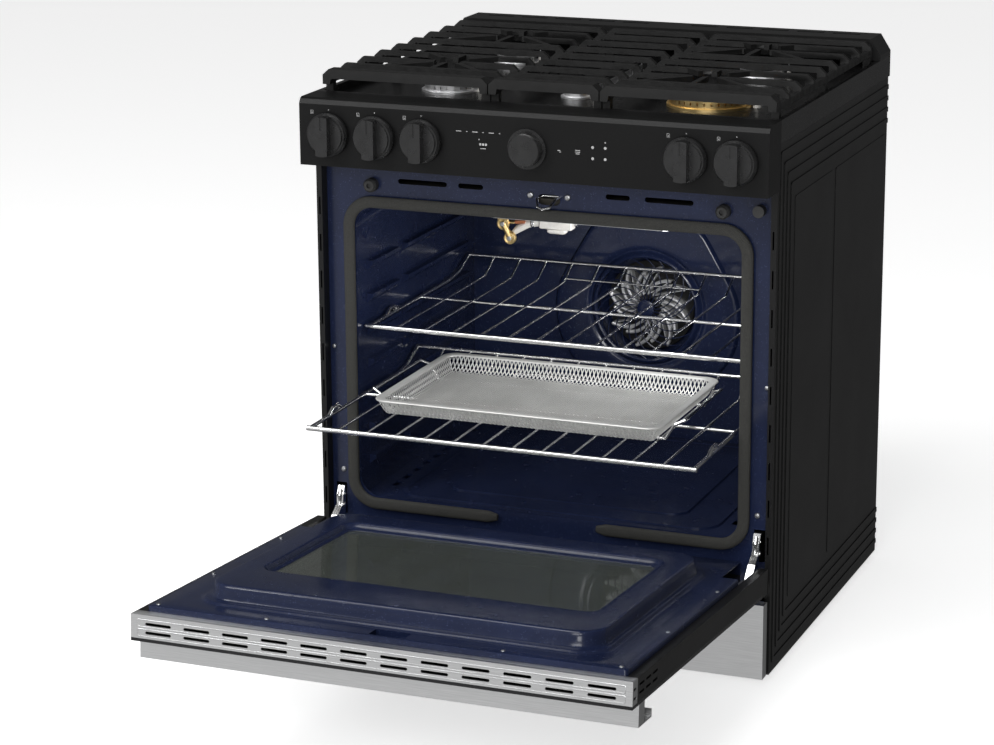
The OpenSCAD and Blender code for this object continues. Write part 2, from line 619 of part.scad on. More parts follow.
// ---- small moving parts ----
module leg(i) color(black) translate([leg_p[i][0], leg_p[i][1], 0]) {
  rod_z(0, 0, 0, 5, 19);
  translate([0, 0, 5]) cylinder(r1 = 19, r2 = 12, h = 4);
  cylinder(r = 9, h = panel_z0 - 0.3, $fn = 6);
  rod_z(0, 0, 5, panel_z0 + 17, leg_r);
}
module leg_front_left() leg(0);
module leg_front_right() leg(1);
module leg_rear_left() leg(2);
module leg_rear_right() leg(3);
module door_switch_button() color(grey) {
  rod_y(switch_p[0], frame_y - 14, frame_y + 18, switch_p[1], 9);
  rod_y(switch_p[0], frame_y + 2.5, frame_y + 5, switch_p[1], 12);
}
module latch_hook() color(bright) {
  r = 1.9;
  z = 736;
  path([[-8, frame_y + 14, z + 4], [-8, frame_y - 12, z + 4], [-2, frame_y - 26, z - 6],
    [8, frame_y - 32, z - 8], [18, frame_y - 26, z - 6], [23, frame_y - 12, z + 4],
    [23, frame_y + 14, z + 4]], r);
  rod_x(-11, 26, frame_y + 13, z + 4, r + 0.7);
}
module door_bumpers() color([0.12, 0.12, 0.12]) both() difference() {
  union() {
    rod_y(bump_p[0], frame_y - 11, frame_y, bump_p[1], 11);
    translate([bump_p[0], frame_y - 11, bump_p[1]]) rotate([90, 0, 0]) cylinder(r1 = 11, r2 = 8, h = 4);
    rod_y(bump_p[0], frame_y, frame_y + 8, bump_p[1], 3.9);
  }
  rod_y(bump_p[0], frame_y - 17, frame_y - 11, bump_p[1], 4);
}
// ---- door hinges ----
arm_x0 = 346.5;
arm_x1 = 357.5;
module hinge_arms() color(bright) both() {
  hy = hinge_y;
  hz = hinge_z;
  difference() {
    union() {
      yz(arm_x0, arm_x1) polygon([[hy - 3, hz + 6], [hy + 4, hz - 6], [hy + 12, hz - 5],
        [frame_y - 24, hz + 24], [frame_y, hz + 30], [frame_y + 16, hz + 30],
        [frame_y + 16, hz + 74], [frame_y - 6, hz + 76], [frame_y - 13, hz + 62],
        [frame_y - 14, hz + 48], [frame_y - 34, hz + 34]]);
      rod_x(arm_x0, arm_x1, hy, hz, 6.3);
    }
    rod_x(arm_x0 - 1, arm_x1 + 1, frame_y - 7, hz + 44, 3);
    rod_x(arm_x0 - 1, arm_x1 + 1, frame_y - 4, hz + 62, 2);
  }
  rod_x(340.5, 363.5, hy, hz, pin_r);
}
module door_hinges() color(steel) door_pose() both() for (x = [341, 358.7]) {
  w = 4.3;
  difference() {
    union() {
      rod_x(x, x + w, hinge_y, hinge_z, 6.4);
      yz(x, x + w) polygon([[hinge_y - 1, hinge_z], [hinge_y + 6, hinge_z - 2],
        [hinge_y + 30, hinge_z + 50], [hinge_y + 30, 340], [hinge_y + 1, 340], [hinge_y + 1, 180],
        [hinge_y - 1, 172]]);
      box(341, 363, hinge_y + 2, hinge_y + 5, 256, 340);
    }
    rod_x(x - 1, x + w + 1, hinge_y, hinge_z, pin_r + run_c);
  }
}

// ---- door, drawn shut and swung to its stop ----
door_z0 = 145;
door_z1 = 775;
door_f = frame_y - 65.5;        // outer face
door_b = frame_y - 25.5;        // inner edge of the trims
glass_t = 5;
win_z0 = 297;
win_z1 = 586;
module door_outer_glass() color([0.03, 0.03, 0.035]) door_pose() difference() {
  box(-half_w, half_w, door_f, door_f + glass_t, 172, door_z1);
  for (s = [-1, 1]) rod_y(s * 330, door_f - 1, door_f + 6, 722, 3.2);
}
module door_side_trims() color(black) door_pose() {
  t = 2;
  both() difference() {
    box(half_w - 15, half_w, door_f + glass_t, door_b, door_z0, door_z1 - 20);
    box(half_w - 13, half_w - t, door_f + glass_t - 1, door_b - t, door_z0 + 2, door_z1 - 19);
    for (i = [0:2]) for (y = [0, 12]) box(half_w - 3, half_w + 1, door_f + 15 + y, door_f + 18.5 + y,
      door_z1 - 48 - i * 28, door_z1 - 28 - i * 28);
  }
  both() box(half_w - 15, half_w, door_f, door_f + glass_t, door_z0, 172);
  difference() {
    box(-336, 336, door_f, door_b, door_z0, 171.9);
    box(-334, 334, door_f + t, door_b + 1, door_z0 + t, 173);
    box(-337, 337, frame_y - 39.5, door_b + 1, 149, 173);
  }
}
module door_top_trim() color(steel) door_pose() difference() {
  box(-half_w, half_w, door_f + glass_t, door_b, door_z1 - 20, door_z1);
  box(-half_w + 1.5, half_w - 1.5, door_f + glass_t + 1.5, door_b - 1.5, door_z1 - 21, door_z1 - 1.5);
  for (i = [0:11]) for (y = [9, 22]) translate([-356.6 + i * 61.1, door_f + glass_t + y, door_z1 - 4]) {
    box(2.2, 38.8, -2.2, 2.2, 0, 5);
    for (x = [2.2, 38.8]) rod_z(x, 0, 0, 5, 2.2);
  }
  both() for (y = [9, 22]) box(half_w - 3, half_w + 1, door_f + glass_t + y - 2,
    door_f + glass_t + y + 2, door_z1 - 16, door_z1 - 4);
}
module door_inner_panel() color(enamel) door_pose() {
  p = frame_y - 17;             // perimeter plane
  s = frame_y - 12.5;           // step plane
  g = frame_y + 0.5;            // glass plane
  q = frame_y + 10;             // plateau plane
  t = 1.4;
  zb = door_z1 - 21;
  difference() {
    union() {
      xz(p - 22, p) rrect(-364.5, 364.5, 150, zb, 6);
      xz(p, s) rrect(-312, 312, 218, 713, 46);
      xz(s, q - 6) rrect(-305, 305, 228, 701, 44);
      xz(q - 6, q) rrect(-301, 301, 232, 697, 40);
    }
    xz(p - 23, p - t) rrect(-364.5 + t, 364.5 - t, 150 + t, zb - t, 5);
    xz(p - t - 1, s - t) rrect(-312 + t, 312 - t, 218 + t, 713 - t, 45);
    xz(s - t - 1, q - t) rrect(-301 + t, 301 - t, 232 + t, 697 - t, 39);
    xz(p - 30, q + 1) rrect(-win_x, win_x, win_z0, win_z1, 14);
    xz(q - 3, q + 1) rrect(-win_x - 8, win_x + 8, win_z0 - 8, win_z1 + 8, 20);
    both() box(338, 365.5, p - 23, q, 140, 250);
    box(-20, 35, p - 2, q, 724, 750);
  }
  // window reveal back to the glass
  difference() {
    xz(g - 6, q - 3) rrect(-win_x - 9, win_x + 9, win_z0 - 9, win_z1 + 9, 21);
    xz(g - 7, q + 1) rrect(-win_x, win_x, win_z0, win_z1, 14);
    xz(g - 7, g) rrect(-win_x - 6, win_x + 6, win_z0 - 6, win_z1 + 6, 18);
  }
}
module door_inner_glass() color([0.35, 0.42, 0.4, 0.4]) door_pose() {
  xz(frame_y - 4, frame_y) rrect(-win_x - 5.5, win_x + 5.5, win_z0 - 5.5, win_z1 + 5.5, 17);
}
module door_handle() color(steel) door_pose() {
  t = 2.2;
  y0 = door_f - 33;
  z1 = 747;
  z0 = 692;
  box(-half_w, half_w, y0, door_f, z1 - t, z1);
  box(-half_w, half_w, y0, y0 + t, z0, z1 - t);
  box(-half_w, half_w, y0 + t, y0 + 12, z0, z0 + t);
  both() {
    box(half_w - t, half_w, y0 + t, door_f, z1 - 24, z1 - t);
    box(322, 338, y0 + t, door_f, 708, z1 - t);
  }
}

// ---- drawer ----
module drawer_front() color(steel) {
  y0 = frame_y - 47;
  y1 = y0 + 20;
  difference() {
    box(-drawer_x, drawer_x, y0, y1, 15, drawer_z1);
    box(-drawer_x + 1.2, drawer_x - 1.2, y0 + 1.2, y1 + 1, 16.2, drawer_z1 - 1.2);
  }
  both() box(300, 330, y0 + 1.2, y1, 40, 100);
}
module drawer_box() color(grey) {
  x = 342;
  y0 = frame_y - 27;
  y1 = 235;
  difference() {
    box(-x, x, y0, y1, 33, 112);
    box(-x + 1.2, x - 1.2, y0 + 1.2, y1 - 1.2, 34.2, 113);
  }
  both() {
    box(x, x + 9, y0 + 30, y1, 96, 98);
    box(x + 7.5, x + 9, y0 + 30, y1, 88, 96);
  }
}
module drawer_rails() color(steel) both() {
  x = 342;
  box(x + 2, x + 33.8, frame_y + 16, rear_y - 90, 98.3, 99.8);
  box(x + 2, x + 33.8, frame_y + 16, rear_y - 90, 83, 84.5);
  box(x + 32.3, x + 33.8, frame_y + 16, rear_y - 90, 84.5, 98.3);
}

side_panel_left();
side_panel_right();
rear_panel();
base_frame();
front_frame();
oven_liner();
fan_cover();
oven_floor();
oven_gasket();
cooktop_pan();
rear_vent_trim();
control_fascia();
oven_burners();
broil_igniter();
insulation();
rack_runners();
fan_motor();
control_board();
burner_heads();
brass_burner();
burner_caps();
gas_manifold();
door_bumpers();
gas_regulator();
hinge_arms();
drawer_rails();
knob_left_front();
knob_left_rear();
knob_centre();
knob_right_rear();
knob_right_front();
stem_left_front();
stem_left_rear();
stem_centre();
stem_right_rear();
stem_right_front();
selector_dial();
leg_front_left();
leg_front_right();
leg_rear_left();
leg_rear_right();
grate_left();
grate_centre();
grate_right();
upper_rack();
lower_rack();
air_fry_tray();
tray_carrier();
convection_fan();
door_switch_button();
latch_hook();
drawer_front();
drawer_box();
door_inner_panel();
door_inner_glass();
door_outer_glass();
door_side_trims();
door_top_trim();
door_handle();
door_hinges();
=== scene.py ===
import math

import bmesh
import bpy
from mathutils import Matrix, Vector


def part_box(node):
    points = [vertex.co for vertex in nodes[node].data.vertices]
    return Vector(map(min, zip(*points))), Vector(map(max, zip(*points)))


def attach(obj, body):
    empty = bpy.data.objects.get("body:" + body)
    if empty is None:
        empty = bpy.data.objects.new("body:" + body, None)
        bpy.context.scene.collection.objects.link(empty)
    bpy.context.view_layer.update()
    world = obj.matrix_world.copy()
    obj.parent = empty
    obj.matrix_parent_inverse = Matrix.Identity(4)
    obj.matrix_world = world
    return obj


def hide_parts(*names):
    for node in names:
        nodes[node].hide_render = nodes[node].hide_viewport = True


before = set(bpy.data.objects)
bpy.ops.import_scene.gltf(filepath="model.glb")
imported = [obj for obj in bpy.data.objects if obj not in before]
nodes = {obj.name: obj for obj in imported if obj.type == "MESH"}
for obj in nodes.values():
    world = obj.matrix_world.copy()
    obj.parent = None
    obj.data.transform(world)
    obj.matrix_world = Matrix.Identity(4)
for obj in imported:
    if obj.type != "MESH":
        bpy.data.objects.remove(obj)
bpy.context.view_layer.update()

# ---------------------------------------------------------------- camera
LENS, SENSOR = 107.2, 36.0
CAM_AT = Vector((1.5934, -4.4764, 1.6852))
YAW, PITCH, ROLL = math.radians(21.84), math.radians(15.32), math.radians(-0.383)
cam = bpy.data.cameras.new("camera")
cam.lens = LENS
cam.sensor_width = SENSOR
cam_ob = bpy.data.objects.new("camera", cam)
bpy.context.scene.collection.objects.link(cam_ob)
cam_ob.matrix_world = (Matrix.Translation(CAM_AT) @ Matrix.Rotation(YAW, 4, "Z")
                       @ Matrix.Rotation(math.pi / 2 - PITCH, 4, "X") @ Matrix.Rotation(ROLL, 4, "Z"))
bpy.context.scene.camera = cam_ob


# ---------------------------------------------------------------- materials
NOISE_LOW, NOISE_HIGH = 0.3, 0.7    # nearly all of a noise texture's values lie between these


class Mat:
    """A node material: a Principled shader and short calls for what feeds it."""

    def __init__(self, name, color, rough=0.5, metal=0.0, coat=0.0, coat_rough=0.05, spec=0.5):
        self.m = bpy.data.materials.new(name)
        self.m.use_nodes = True
        self.t = self.m.node_tree
        self.p = self.t.nodes["Principled BSDF"]
        self.set("Base Color", (*color, 1))
        self.set("Roughness", rough)
        self.set("Metallic", metal)
        self.set("Coat Weight", coat)
        self.set("Coat Roughness", coat_rough)
        self.set("Specular IOR Level", spec)
        self.height = None

    def set(self, socket, value):
        self.p.inputs[socket].default_value = value

    def node(self, kind, **inputs):
        n = self.t.nodes.new(kind)
        for k, v in inputs.items():
            n.inputs[k.replace("_", " ")].default_value = v
        return n

    def link(self, a, b):
        self.t.links.new(a, b)

    def coords(self, scale=(1, 1, 1), turn=(0, 0, 0)):
        """The object's own coordinates, stretched and turned."""
        tc = self.node("ShaderNodeTexCoord")
        mp = self.node("ShaderNodeMapping")
        mp.inputs["Scale"].default_value = scale
        mp.inputs["Rotation"].default_value = turn
        self.link(tc.outputs["Object"], mp.inputs["Vector"])
        return mp.outputs["Vector"]

    def noise(self, scale, stretch=(1, 1, 1), detail=3.0):
        n = self.node("ShaderNodeTexNoise", Scale=scale, Detail=detail)
        self.link(self.coords(stretch), n.inputs["Vector"])
        return n.outputs["Fac"]

    def ramp(self, fac, stops):
        """A colour ramp: stops are (position, colour)."""
        r = self.node("ShaderNodeValToRGB")
        e = r.color_ramp.elements
        while len(e) < len(stops):
            e.new(0.5)
        for el, (pos, col) in zip(e, stops):
            el.position = pos
            el.color = (*col, 1)
        self.link(fac, r.inputs["Fac"])
        return r.outputs["Color"]

    def span(self, fac, low, high, a, b):
        """Carries the values from a to b over to those from low to high."""
        r = self.node("ShaderNodeMapRange")
        for k, v in (("From Min", a), ("From Max", b), ("To Min", low), ("To Max", high)):
            r.inputs[k].default_value = v
        self.link(fac, r.inputs["Value"])
        return r.outputs["Result"]

    def bump(self, fac, strength, distance):
        """Adds relief on top of any that is there already."""
        b = self.node("ShaderNodeBump", Strength=strength, Distance=distance)
        self.link(fac, b.inputs["Height"])
        if self.height is not None:
            self.link(self.height, b.inputs["Normal"])
        self.height = b.outputs["Normal"]
        self.link(self.height, self.p.inputs["Normal"])
        return self

    def color_from(self, fac, dark, light):
        stops = [(NOISE_LOW, dark), (NOISE_HIGH, light)]
        self.link(self.ramp(fac, stops), self.p.inputs["Base Color"])

    def shades(self, fac, color, dark, light):
        """Lets the colour drift between two shades of itself."""
        self.color_from(fac, Vector(color) * dark, Vector(color) * light)

    def rough_from(self, fac, low, high):
        self.link(self.span(fac, low, high, NOISE_LOW, NOISE_HIGH), self.p.inputs["Roughness"])


def satin_black(name, color, rough, grain=1400.0, spec=0.3):
    m = Mat(name, color, rough, spec=spec)
    m.shades(m.noise(grain / 2, detail=2.0), color, 0.85, 1.15)
    m.rough_from(m.noise(9.0), rough - 0.02, rough + 0.02)
    return m.bump(m.noise(grain, detail=2.0), 0.25, 0.0002)


def enamel():
    """Dark blue enamel with paler flecks: small cells, of which a coarser noise keeps some."""
    ground_color, fleck_color, rough = Vector((0.0088, 0.0135, 0.039)), (0.09, 0.12, 0.24), 0.22
    m = Mat("speckled_enamel", ground_color, rough, coat=0.12, coat_rough=0.08, spec=0.32)
    v = m.node("ShaderNodeTexVoronoi", Scale=420.0)
    m.link(m.coords(), v.inputs["Vector"])
    fleck = m.ramp(v.outputs["Distance"],
                   [(0.0, (1, 1, 1)), (0.17, (0.75, 0.75, 0.75)), (0.3, (0, 0, 0))])
    ground = m.ramp(m.noise(9.0), [(NOISE_LOW, ground_color * 0.85), (NOISE_HIGH, ground_color * 1.2)])
    some = m.span(m.noise(160.0, detail=1.0), 0.0, 0.55, 0.48, 0.62)
    mul = m.node("ShaderNodeMath")
    mul.operation = "MULTIPLY"
    m.link(fleck, mul.inputs[0])
    m.link(some, mul.inputs[1])
    mix = m.node("ShaderNodeMix")
    mix.data_type = "RGBA"
    m.link(mul.outputs[0], mix.inputs["Factor"])
    m.link(ground, mix.inputs[6])
    mix.inputs[7].default_value = (*fleck_color, 1)
    m.link(mix.outputs[2], m.p.inputs["Base Color"])
    m.rough_from(m.noise(45.0), rough - 0.05, rough + 0.06)
    return m.bump(m.noise(260.0, detail=2.0), 0.12, 0.0004)


def brushed(name, color, rough):
    """Metal brushed along X."""
    m = Mat(name, color, rough, metal=1.0)
    lines = m.noise(6.0, (4.0, 260.0, 260.0), detail=4.0)
    m.shades(lines, color, 0.88, 1.08)
    m.rough_from(lines, rough - 0.06, rough + 0.1)
    m.set("Anisotropic", 0.5)
    return m.bump(lines, 0.12, 0.0001)


def plated(name, color, rough, spots=60.0, metal=1.0):
    m = Mat(name, color, rough, metal=metal)
    m.shades(m.noise(18.0), color, 0.9, 1.04)
    m.rough_from(m.noise(spots), max(rough - 0.04, 0.02), rough + 0.07)
    return m.bump(m.noise(420.0, detail=2.0), 0.06, 0.0001)


def cast_iron():
    m = Mat("cast_iron", (0.006, 0.006, 0.006), 0.45, spec=0.36)
    m.color_from(m.noise(14.0), (0.0045, 0.0045, 0.0045), (0.008, 0.008, 0.008))
    m.rough_from(m.noise(90.0), 0.42, 0.62)
    m.bump(m.noise(700.0, detail=4.0), 0.5, 0.0005)
    return m.bump(m.noise(70.0), 0.2, 0.0006)


def weave():
    m = Mat("gasket_weave", (0.02, 0.02, 0.017), 0.85)
    m.color_from(m.noise(900.0, detail=2.0), (0.014, 0.014, 0.013), (0.038, 0.038, 0.034))
    for turn in (45, -45):
        strands = m.node("ShaderNodeTexWave", Scale=150.0, Distortion=1.5, Detail=2.0)
        m.link(m.coords(turn=(0, math.radians(turn), 0)), strands.inputs["Vector"])
        m.bump(strands.outputs["Fac"], 0.5, 0.0008)
    return m


def rubber(name="rubber", color=(0.02, 0.02, 0.02), rough=0.55):
    m = Mat(name, color, rough)
    m.shades(m.noise(60.0), color, 0.8, 1.3)
    m.rough_from(m.noise(80.0), rough - 0.08, rough + 0.1)
    return m.bump(m.noise(1200.0, detail=2.0), 0.3, 0.0003)


def ceramic(name="ceramic", color=(0.72, 0.70, 0.66)):
    m = Mat(name, color, 0.5)
    m.shades(m.noise(120.0), color, 0.85, 1.0)
    m.rough_from(m.noise(200.0), 0.4, 0.65)
    return m.bump(m.noise(900.0), 0.2, 0.0002)


def glass(name, color, rough, through):
    m = Mat(name, color, rough)
    m.set("Transmission Weight", through)
    m.set("IOR", 1.45)
    m.shades(m.noise(3.0), color, 0.92, 1.05)
    m.rough_from(m.noise(12.0), rough, rough + 0.05)
    return m


def wool():
    m = Mat("mineral_wool", (0.035, 0.032, 0.026), 0.95)
    f = m.noise(90.0, (1, 1, 6), 6.0)
    m.color_from(f, (0.02, 0.018, 0.014), (0.05, 0.046, 0.038))
    m.rough_from(f, 0.85, 1.0)
    return m.bump(f, 0.8, 0.003)


# each look: its material
MAT = {
    "body": satin_black("satin_black_steel", (0.006, 0.006, 0.0061), 0.36, spec=0.3),
    "fascia": satin_black("fascia_black", (0.005, 0.005, 0.0051), 0.38, 1800.0, 0.17),
    "pan": satin_black("cooktop_enamel", (0.005, 0.005, 0.0052), 0.26),
    "enamel": enamel(),
    "steel": brushed("brushed_stainless", (0.80, 0.805, 0.81), 0.36),
    "chrome": plated("bright_chrome", (0.86, 0.86, 0.86), 0.2),
    "zinc": plated("zinc_plate", (0.56, 0.57, 0.58), 0.34, 35.0),
    "fan_steel": plated("fan_steel", (0.92, 0.92, 0.93), 0.34, 80.0, 0.75),
    "galvanised": plated("galvanised_sheet", (0.46, 0.47, 0.48), 0.42, 25.0, 0.45),
    "alloy": plated("cast_burner_alloy", (0.9, 0.9, 0.91), 0.42, 120.0),
    "copper": plated("lead_terminal", (0.75, 0.28, 0.14), 0.3),
    "brass": plated("machined_brass", (0.97, 0.72, 0.33), 0.36, 90.0),
    "iron": cast_iron(),
    "gasket": weave(),
    "rubber": rubber(),
    "knob": rubber("knob_black", (0.0095, 0.0095, 0.0098), 0.3),
    "black_glass": glass("black_glass", (0.006, 0.006, 0.007), 0.04, 0.0),
    "window": glass("window_glass", (0.30, 0.33, 0.30), 0.02, 0.85),
    "wool": wool(),
    "board": rubber("board_green", (0.02, 0.08, 0.035), 0.45),
    "ceramic": ceramic(),
    "mark": ceramic("print_white", (0.34, 0.34, 0.34)),
    "mesh": plated("mesh_steel", (0.56, 0.56, 0.545), 0.42, 200.0, 0.4),
}
# each look: the CAD nodes that wear it
LOOK = {
    "fascia": ["control_fascia"], "pan": ["cooktop_pan"],
    "body": ["side_panel_left", "side_panel_right", "base_frame", "rear_vent_trim", "door_side_trims"],
    "enamel": ["front_frame", "oven_liner", "fan_cover", "oven_floor", "rack_runners",
               "door_inner_panel"],
    "steel": ["drawer_front", "door_top_trim", "door_handle"],
    "chrome": ["hinge_arms", "upper_rack", "lower_rack", "tray_carrier",
               "convection_fan", "latch_hook"],
    "galvanised": ["rear_panel"],
    "zinc": ["oven_burners", "fan_motor", "gas_manifold", "gas_regulator", "drawer_rails", "drawer_box",
             "door_hinges"],
    "alloy": ["burner_heads"], "brass": ["brass_burner", "broil_igniter"],
    "iron": ["burner_caps", "grate_left", "grate_centre", "grate_right"],
    "gasket": ["oven_gasket"], "rubber": ["door_bumpers", "door_switch_button"],
    "black_glass": ["door_outer_glass"], "window": ["door_inner_glass"],
    "wool": ["insulation"], "board": ["control_board"], "mesh": ["air_fry_tray"],
    "knob": ["selector_dial"],
}
for n in nodes:
    if n.startswith("knob_") or n.startswith("leg_"):
        LOOK["knob"].append(n)
    if n.startswith("stem_"):
        LOOK["zinc"].append(n)


SMOOTH_BELOW = math.radians(32)


def smooth_by_angle(ob):
    """Smooth shading with hard edges where two faces meet steeply."""
    for p in ob.data.polygons:
        p.use_smooth = True
    bm = bmesh.new()
    bm.from_mesh(ob.data)
    for e in bm.edges:
        e.smooth = len(e.link_faces) == 2 and e.calc_face_angle(0.0) < SMOOTH_BELOW
    bm.to_mesh(ob.data)
    bm.free()


for look, names in LOOK.items():
    for n in names:
        ob = nodes[n]
        ob.data.materials.clear()
        ob.data.materials.append(MAT[look].m)

# ---------------------------------------------------------------- mesh helpers
# the door at rest: swung open about its hinge from where it is drawn shut
HINGE = Vector((0.0, -0.3575, 0.162))
DOOR_OPEN = math.radians(85.94)
DOOR = (Matrix.Translation(HINGE) @ Matrix.Rotation(DOOR_OPEN, 4, "X")
        @ Matrix.Translation(-HINGE))
MM = 0.001


def add(name, verts, faces, look, body, door=False, smooth=True):
    """A new piece from millimetre points. Door pieces are given as on the shut door."""
    me = bpy.data.meshes.new(name)
    me.from_pydata([Vector(v) * MM for v in verts], [], faces)
    if door:
        me.transform(DOOR)
    me.validate()
    ob = bpy.data.objects.new(name, me)
    bpy.context.scene.collection.objects.link(ob)
    me.materials.append(MAT[look].m)
    bm = bmesh.new()
    bm.from_mesh(me)
    bmesh.ops.recalc_face_normals(bm, faces=bm.faces)
    bm.to_mesh(me)
    bm.free()
    if smooth:
        smooth_by_angle(ob)
    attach(ob, body)
    return ob


def rect_loop(x, z0, z1, r, y, n=10):
    """A rounded rectangle in X and Z at depth y, as points."""
    out = []
    corners = ((x - r, z1 - r, 0), (-x + r, z1 - r, 90), (-x + r, z0 + r, 180), (x - r, z0 + r, 270))
    for cx, cz, a0 in corners:
        for i in range(n + 1):
            a = math.radians(a0 + 90 * i / n)
            out.append((cx + r * math.cos(a), y, cz + r * math.sin(a)))
    return out


def flat_loop(x, y0, y1, r, z, n):
    """The same rounded rectangle, lying in X and Y at height z."""
    return [(p[0], p[2], z) for p in rect_loop(x, y0, y1, r, 0, n)]


def loft(loops, caps=False, close=False):
    """Skins loops of equal length: open ended, with both ends capped, or closed into a ring."""
    n = len(loops[0])
    verts = [p for lp in loops for p in lp]
    faces = []
    rings = len(loops)
    for k in range(rings if close else rings - 1):
        a, b = k * n, ((k + 1) % rings) * n
        for i in range(n):
            j = (i + 1) % n
            faces.append((a + i, a + j, b + j, b + i))
    if caps:
        faces.append(tuple(range(n)))
        faces.append(tuple(reversed(range((rings - 1) * n, rings * n))))
    return verts, faces


def tube(points, r, sides):
    """A round bar along a list of points (mm). The radius is one number or one for each point."""
    pts = [Vector(p) for p in points]
    loops = []
    ref = None
    for i, p in enumerate(pts):
        a = pts[max(i - 1, 0)]
        b = pts[min(i + 1, len(pts) - 1)]
        t = (b - a).normalized()
        if ref is None:
            ref = t.orthogonal().normalized()
        ref = (ref - t * ref.dot(t)).normalized()
        side = t.cross(ref)
        rr = r[i] if isinstance(r, (list, tuple)) else r
        turns = [k * math.tau / sides for k in range(sides)]
        loops.append([tuple(p + (ref * math.cos(a) + side * math.sin(a)) * rr) for a in turns])
    return loft(loops, caps=True)


def merge(parts):
    """Several (points, faces) pairs as one."""
    verts, faces = [], []
    for v, f in parts:
        o = len(verts)
        verts += v
        faces += [tuple(i + o for i in q) for q in f]
    return verts, faces


def block(x0, x1, y0, y1, z0, z1, c):
    """A box (mm) with edges chamfered by c."""
    out = []
    for z, s in ((z0, c), (z0 + c, 0), (z1 - c, 0), (z1, c)):
        xa, xb, ya, yb = x0 + s, x1 - s, y0 + s, y1 - s
        out.append([(xa + c, ya, z), (xb - c, ya, z), (xb, ya + c, z), (xb, yb - c, z),
                    (xb - c, yb, z), (xa + c, yb, z), (xa, yb - c, z), (xa, ya + c, z)])
    return loft(out, caps=True)


def turned(profile, at, axis, sides):
    """A solid of revolution: profile is (radius, along) pairs, at is where along = 0."""
    x, y, z = at
    loops = []
    for r, h in profile:
        lp = []
        for k in range(sides):
            a = k * math.tau / sides
            c, s = max(r, 0.01) * math.cos(a), max(r, 0.01) * math.sin(a)
            lp.append({"Z": (x + c, y + s, z + h), "Y": (x + c, y + h, z + s),
                       "X": (x + h, y + c, z + s)}[axis])
        loops.append(lp)
    return loft(loops, caps=True)


def pill(r, h0, h1, cr, ch):
    """A profile for turned: a short cylinder whose two rims are cut back by cr and ch."""
    return [(0, h0), (r - cr, h0), (r, h0 + ch), (r, h1 - ch), (r - cr, h1), (0, h1)]


def cut_door(ob, boxes):
    """Takes boxes (mm, as on the shut door) out of a door piece."""
    v, f = merge([block(*b, 0.0) for b in boxes])
    me = bpy.data.meshes.new("cutter")
    me.from_pydata([Vector(p) * MM for p in v], [], f)
    me.transform(DOOR)
    bm = bmesh.new()
    bm.from_mesh(me)
    bmesh.ops.remove_doubles(bm, verts=bm.verts, dist=1e-6)
    bmesh.ops.recalc_face_normals(bm, faces=bm.faces)
    bm.to_mesh(me)
    bm.free()
    tool = bpy.data.objects.new("cutter", me)
    bpy.context.scene.collection.objects.link(tool)
    mod = ob.modifiers.new("cut", "BOOLEAN")
    mod.object = tool
    mod.operation = "DIFFERENCE"
    mod.solver = "EXACT"
    bpy.context.view_layer.update()
    done = bpy.data.meshes.new_from_object(ob.evaluated_get(bpy.context.evaluated_depsgraph_get()))
    ob.modifiers.clear()
    old = ob.data
    ob.data = done
    done.name = ob.name
    bpy.data.meshes.remove(old)
    bpy.data.objects.remove(tool)
    smooth_by_angle(ob)


# ---------------------------------------------------------------- door
# the pressed inner panel, from its rim over two steps to the window's edge
# each ring: half width, lower z, upper z, corner radius, y
PANEL = [
    (364.5, 150, 754, 6, -337), (364.5, 150, 754, 6, -317.6), (364.1, 150.4, 753.6, 6, -316.6),
    (363, 151.5, 752.5, 6, -316), (330, 196, 732, 50, -316), (318, 211, 720, 50, -316),
    (315, 214, 717, 48, -315.6), (313, 216.5, 714.5, 46, -314.4), (312, 218, 713, 46, -312.6),
    (310.8, 219.5, 711.5, 46, -311.8), (309, 221.5, 709.5, 46, -311.4), (306, 225.5, 703.5, 45, -311.4),
    (304.2, 228, 701, 44, -310.6), (303.2, 229.6, 699.6, 43.5, -308), (302.2, 231, 698.4, 43, -299),
    (301.6, 232, 697.4, 42, -293), (300.6, 233.4, 696, 41, -290.6), (298.6, 235.6, 693.8, 40, -289.3),
    (295.5, 239, 690.5, 38, -289), (268, 281, 602, 26, -289), (264.5, 284, 598.5, 24, -289.3),
    (262, 286.5, 596.2, 22, -290.6), (260, 288.5, 594.2, 20, -293.5), (257.5, 291, 592, 18, -296),
    (254.5, 294, 589, 15, -297.6), (251.6, 296.6, 586.6, 14, -298.3), (251, 297.4, 585.6, 13.5, -299.6),
    (251, 297.4, 585.6, 13.5, -306),
]
RIM_RINGS = 3           # the first rings are the rim, which runs along Y
SKIN = 1.2
PANEL_Y = -316          # the panel's flat face, towards the oven
WINDOW_EDGE = PANEL[-1]
SLOT_X0, SLOT_X1 = -20, 35          # the opening that the latch hook enters
SLOT_Z0, SLOT_Z1 = 722, 749
SLOT_Y0, SLOT_Y1 = -325, -300
HINGE_X0, HINGE_X1 = 338, 366       # the two openings for the hinge arms
HINGE_CUT = (-345, -285, 140, 250)  # their y and z
front = [rect_loop(x, z0, z1, r, y) for x, z0, z1, r, y in PANEL]
back = []
for i, (x, z0, z1, r, y) in enumerate(PANEL[:-2]):
    depth = SKIN if i >= RIM_RINGS else 0
    back.append(rect_loop(x - SKIN, z0 + SKIN, z1 - SKIN, max(r - SKIN, 2), y - depth))
x, z0, z1, r, y = WINDOW_EDGE
back.append(rect_loop(x + SKIN, z0 - SKIN, z1 + SKIN, 14, y))
panel = add("door_pressed_panel", *loft(front + back[::-1], close=True), "enamel", "door", door=True)
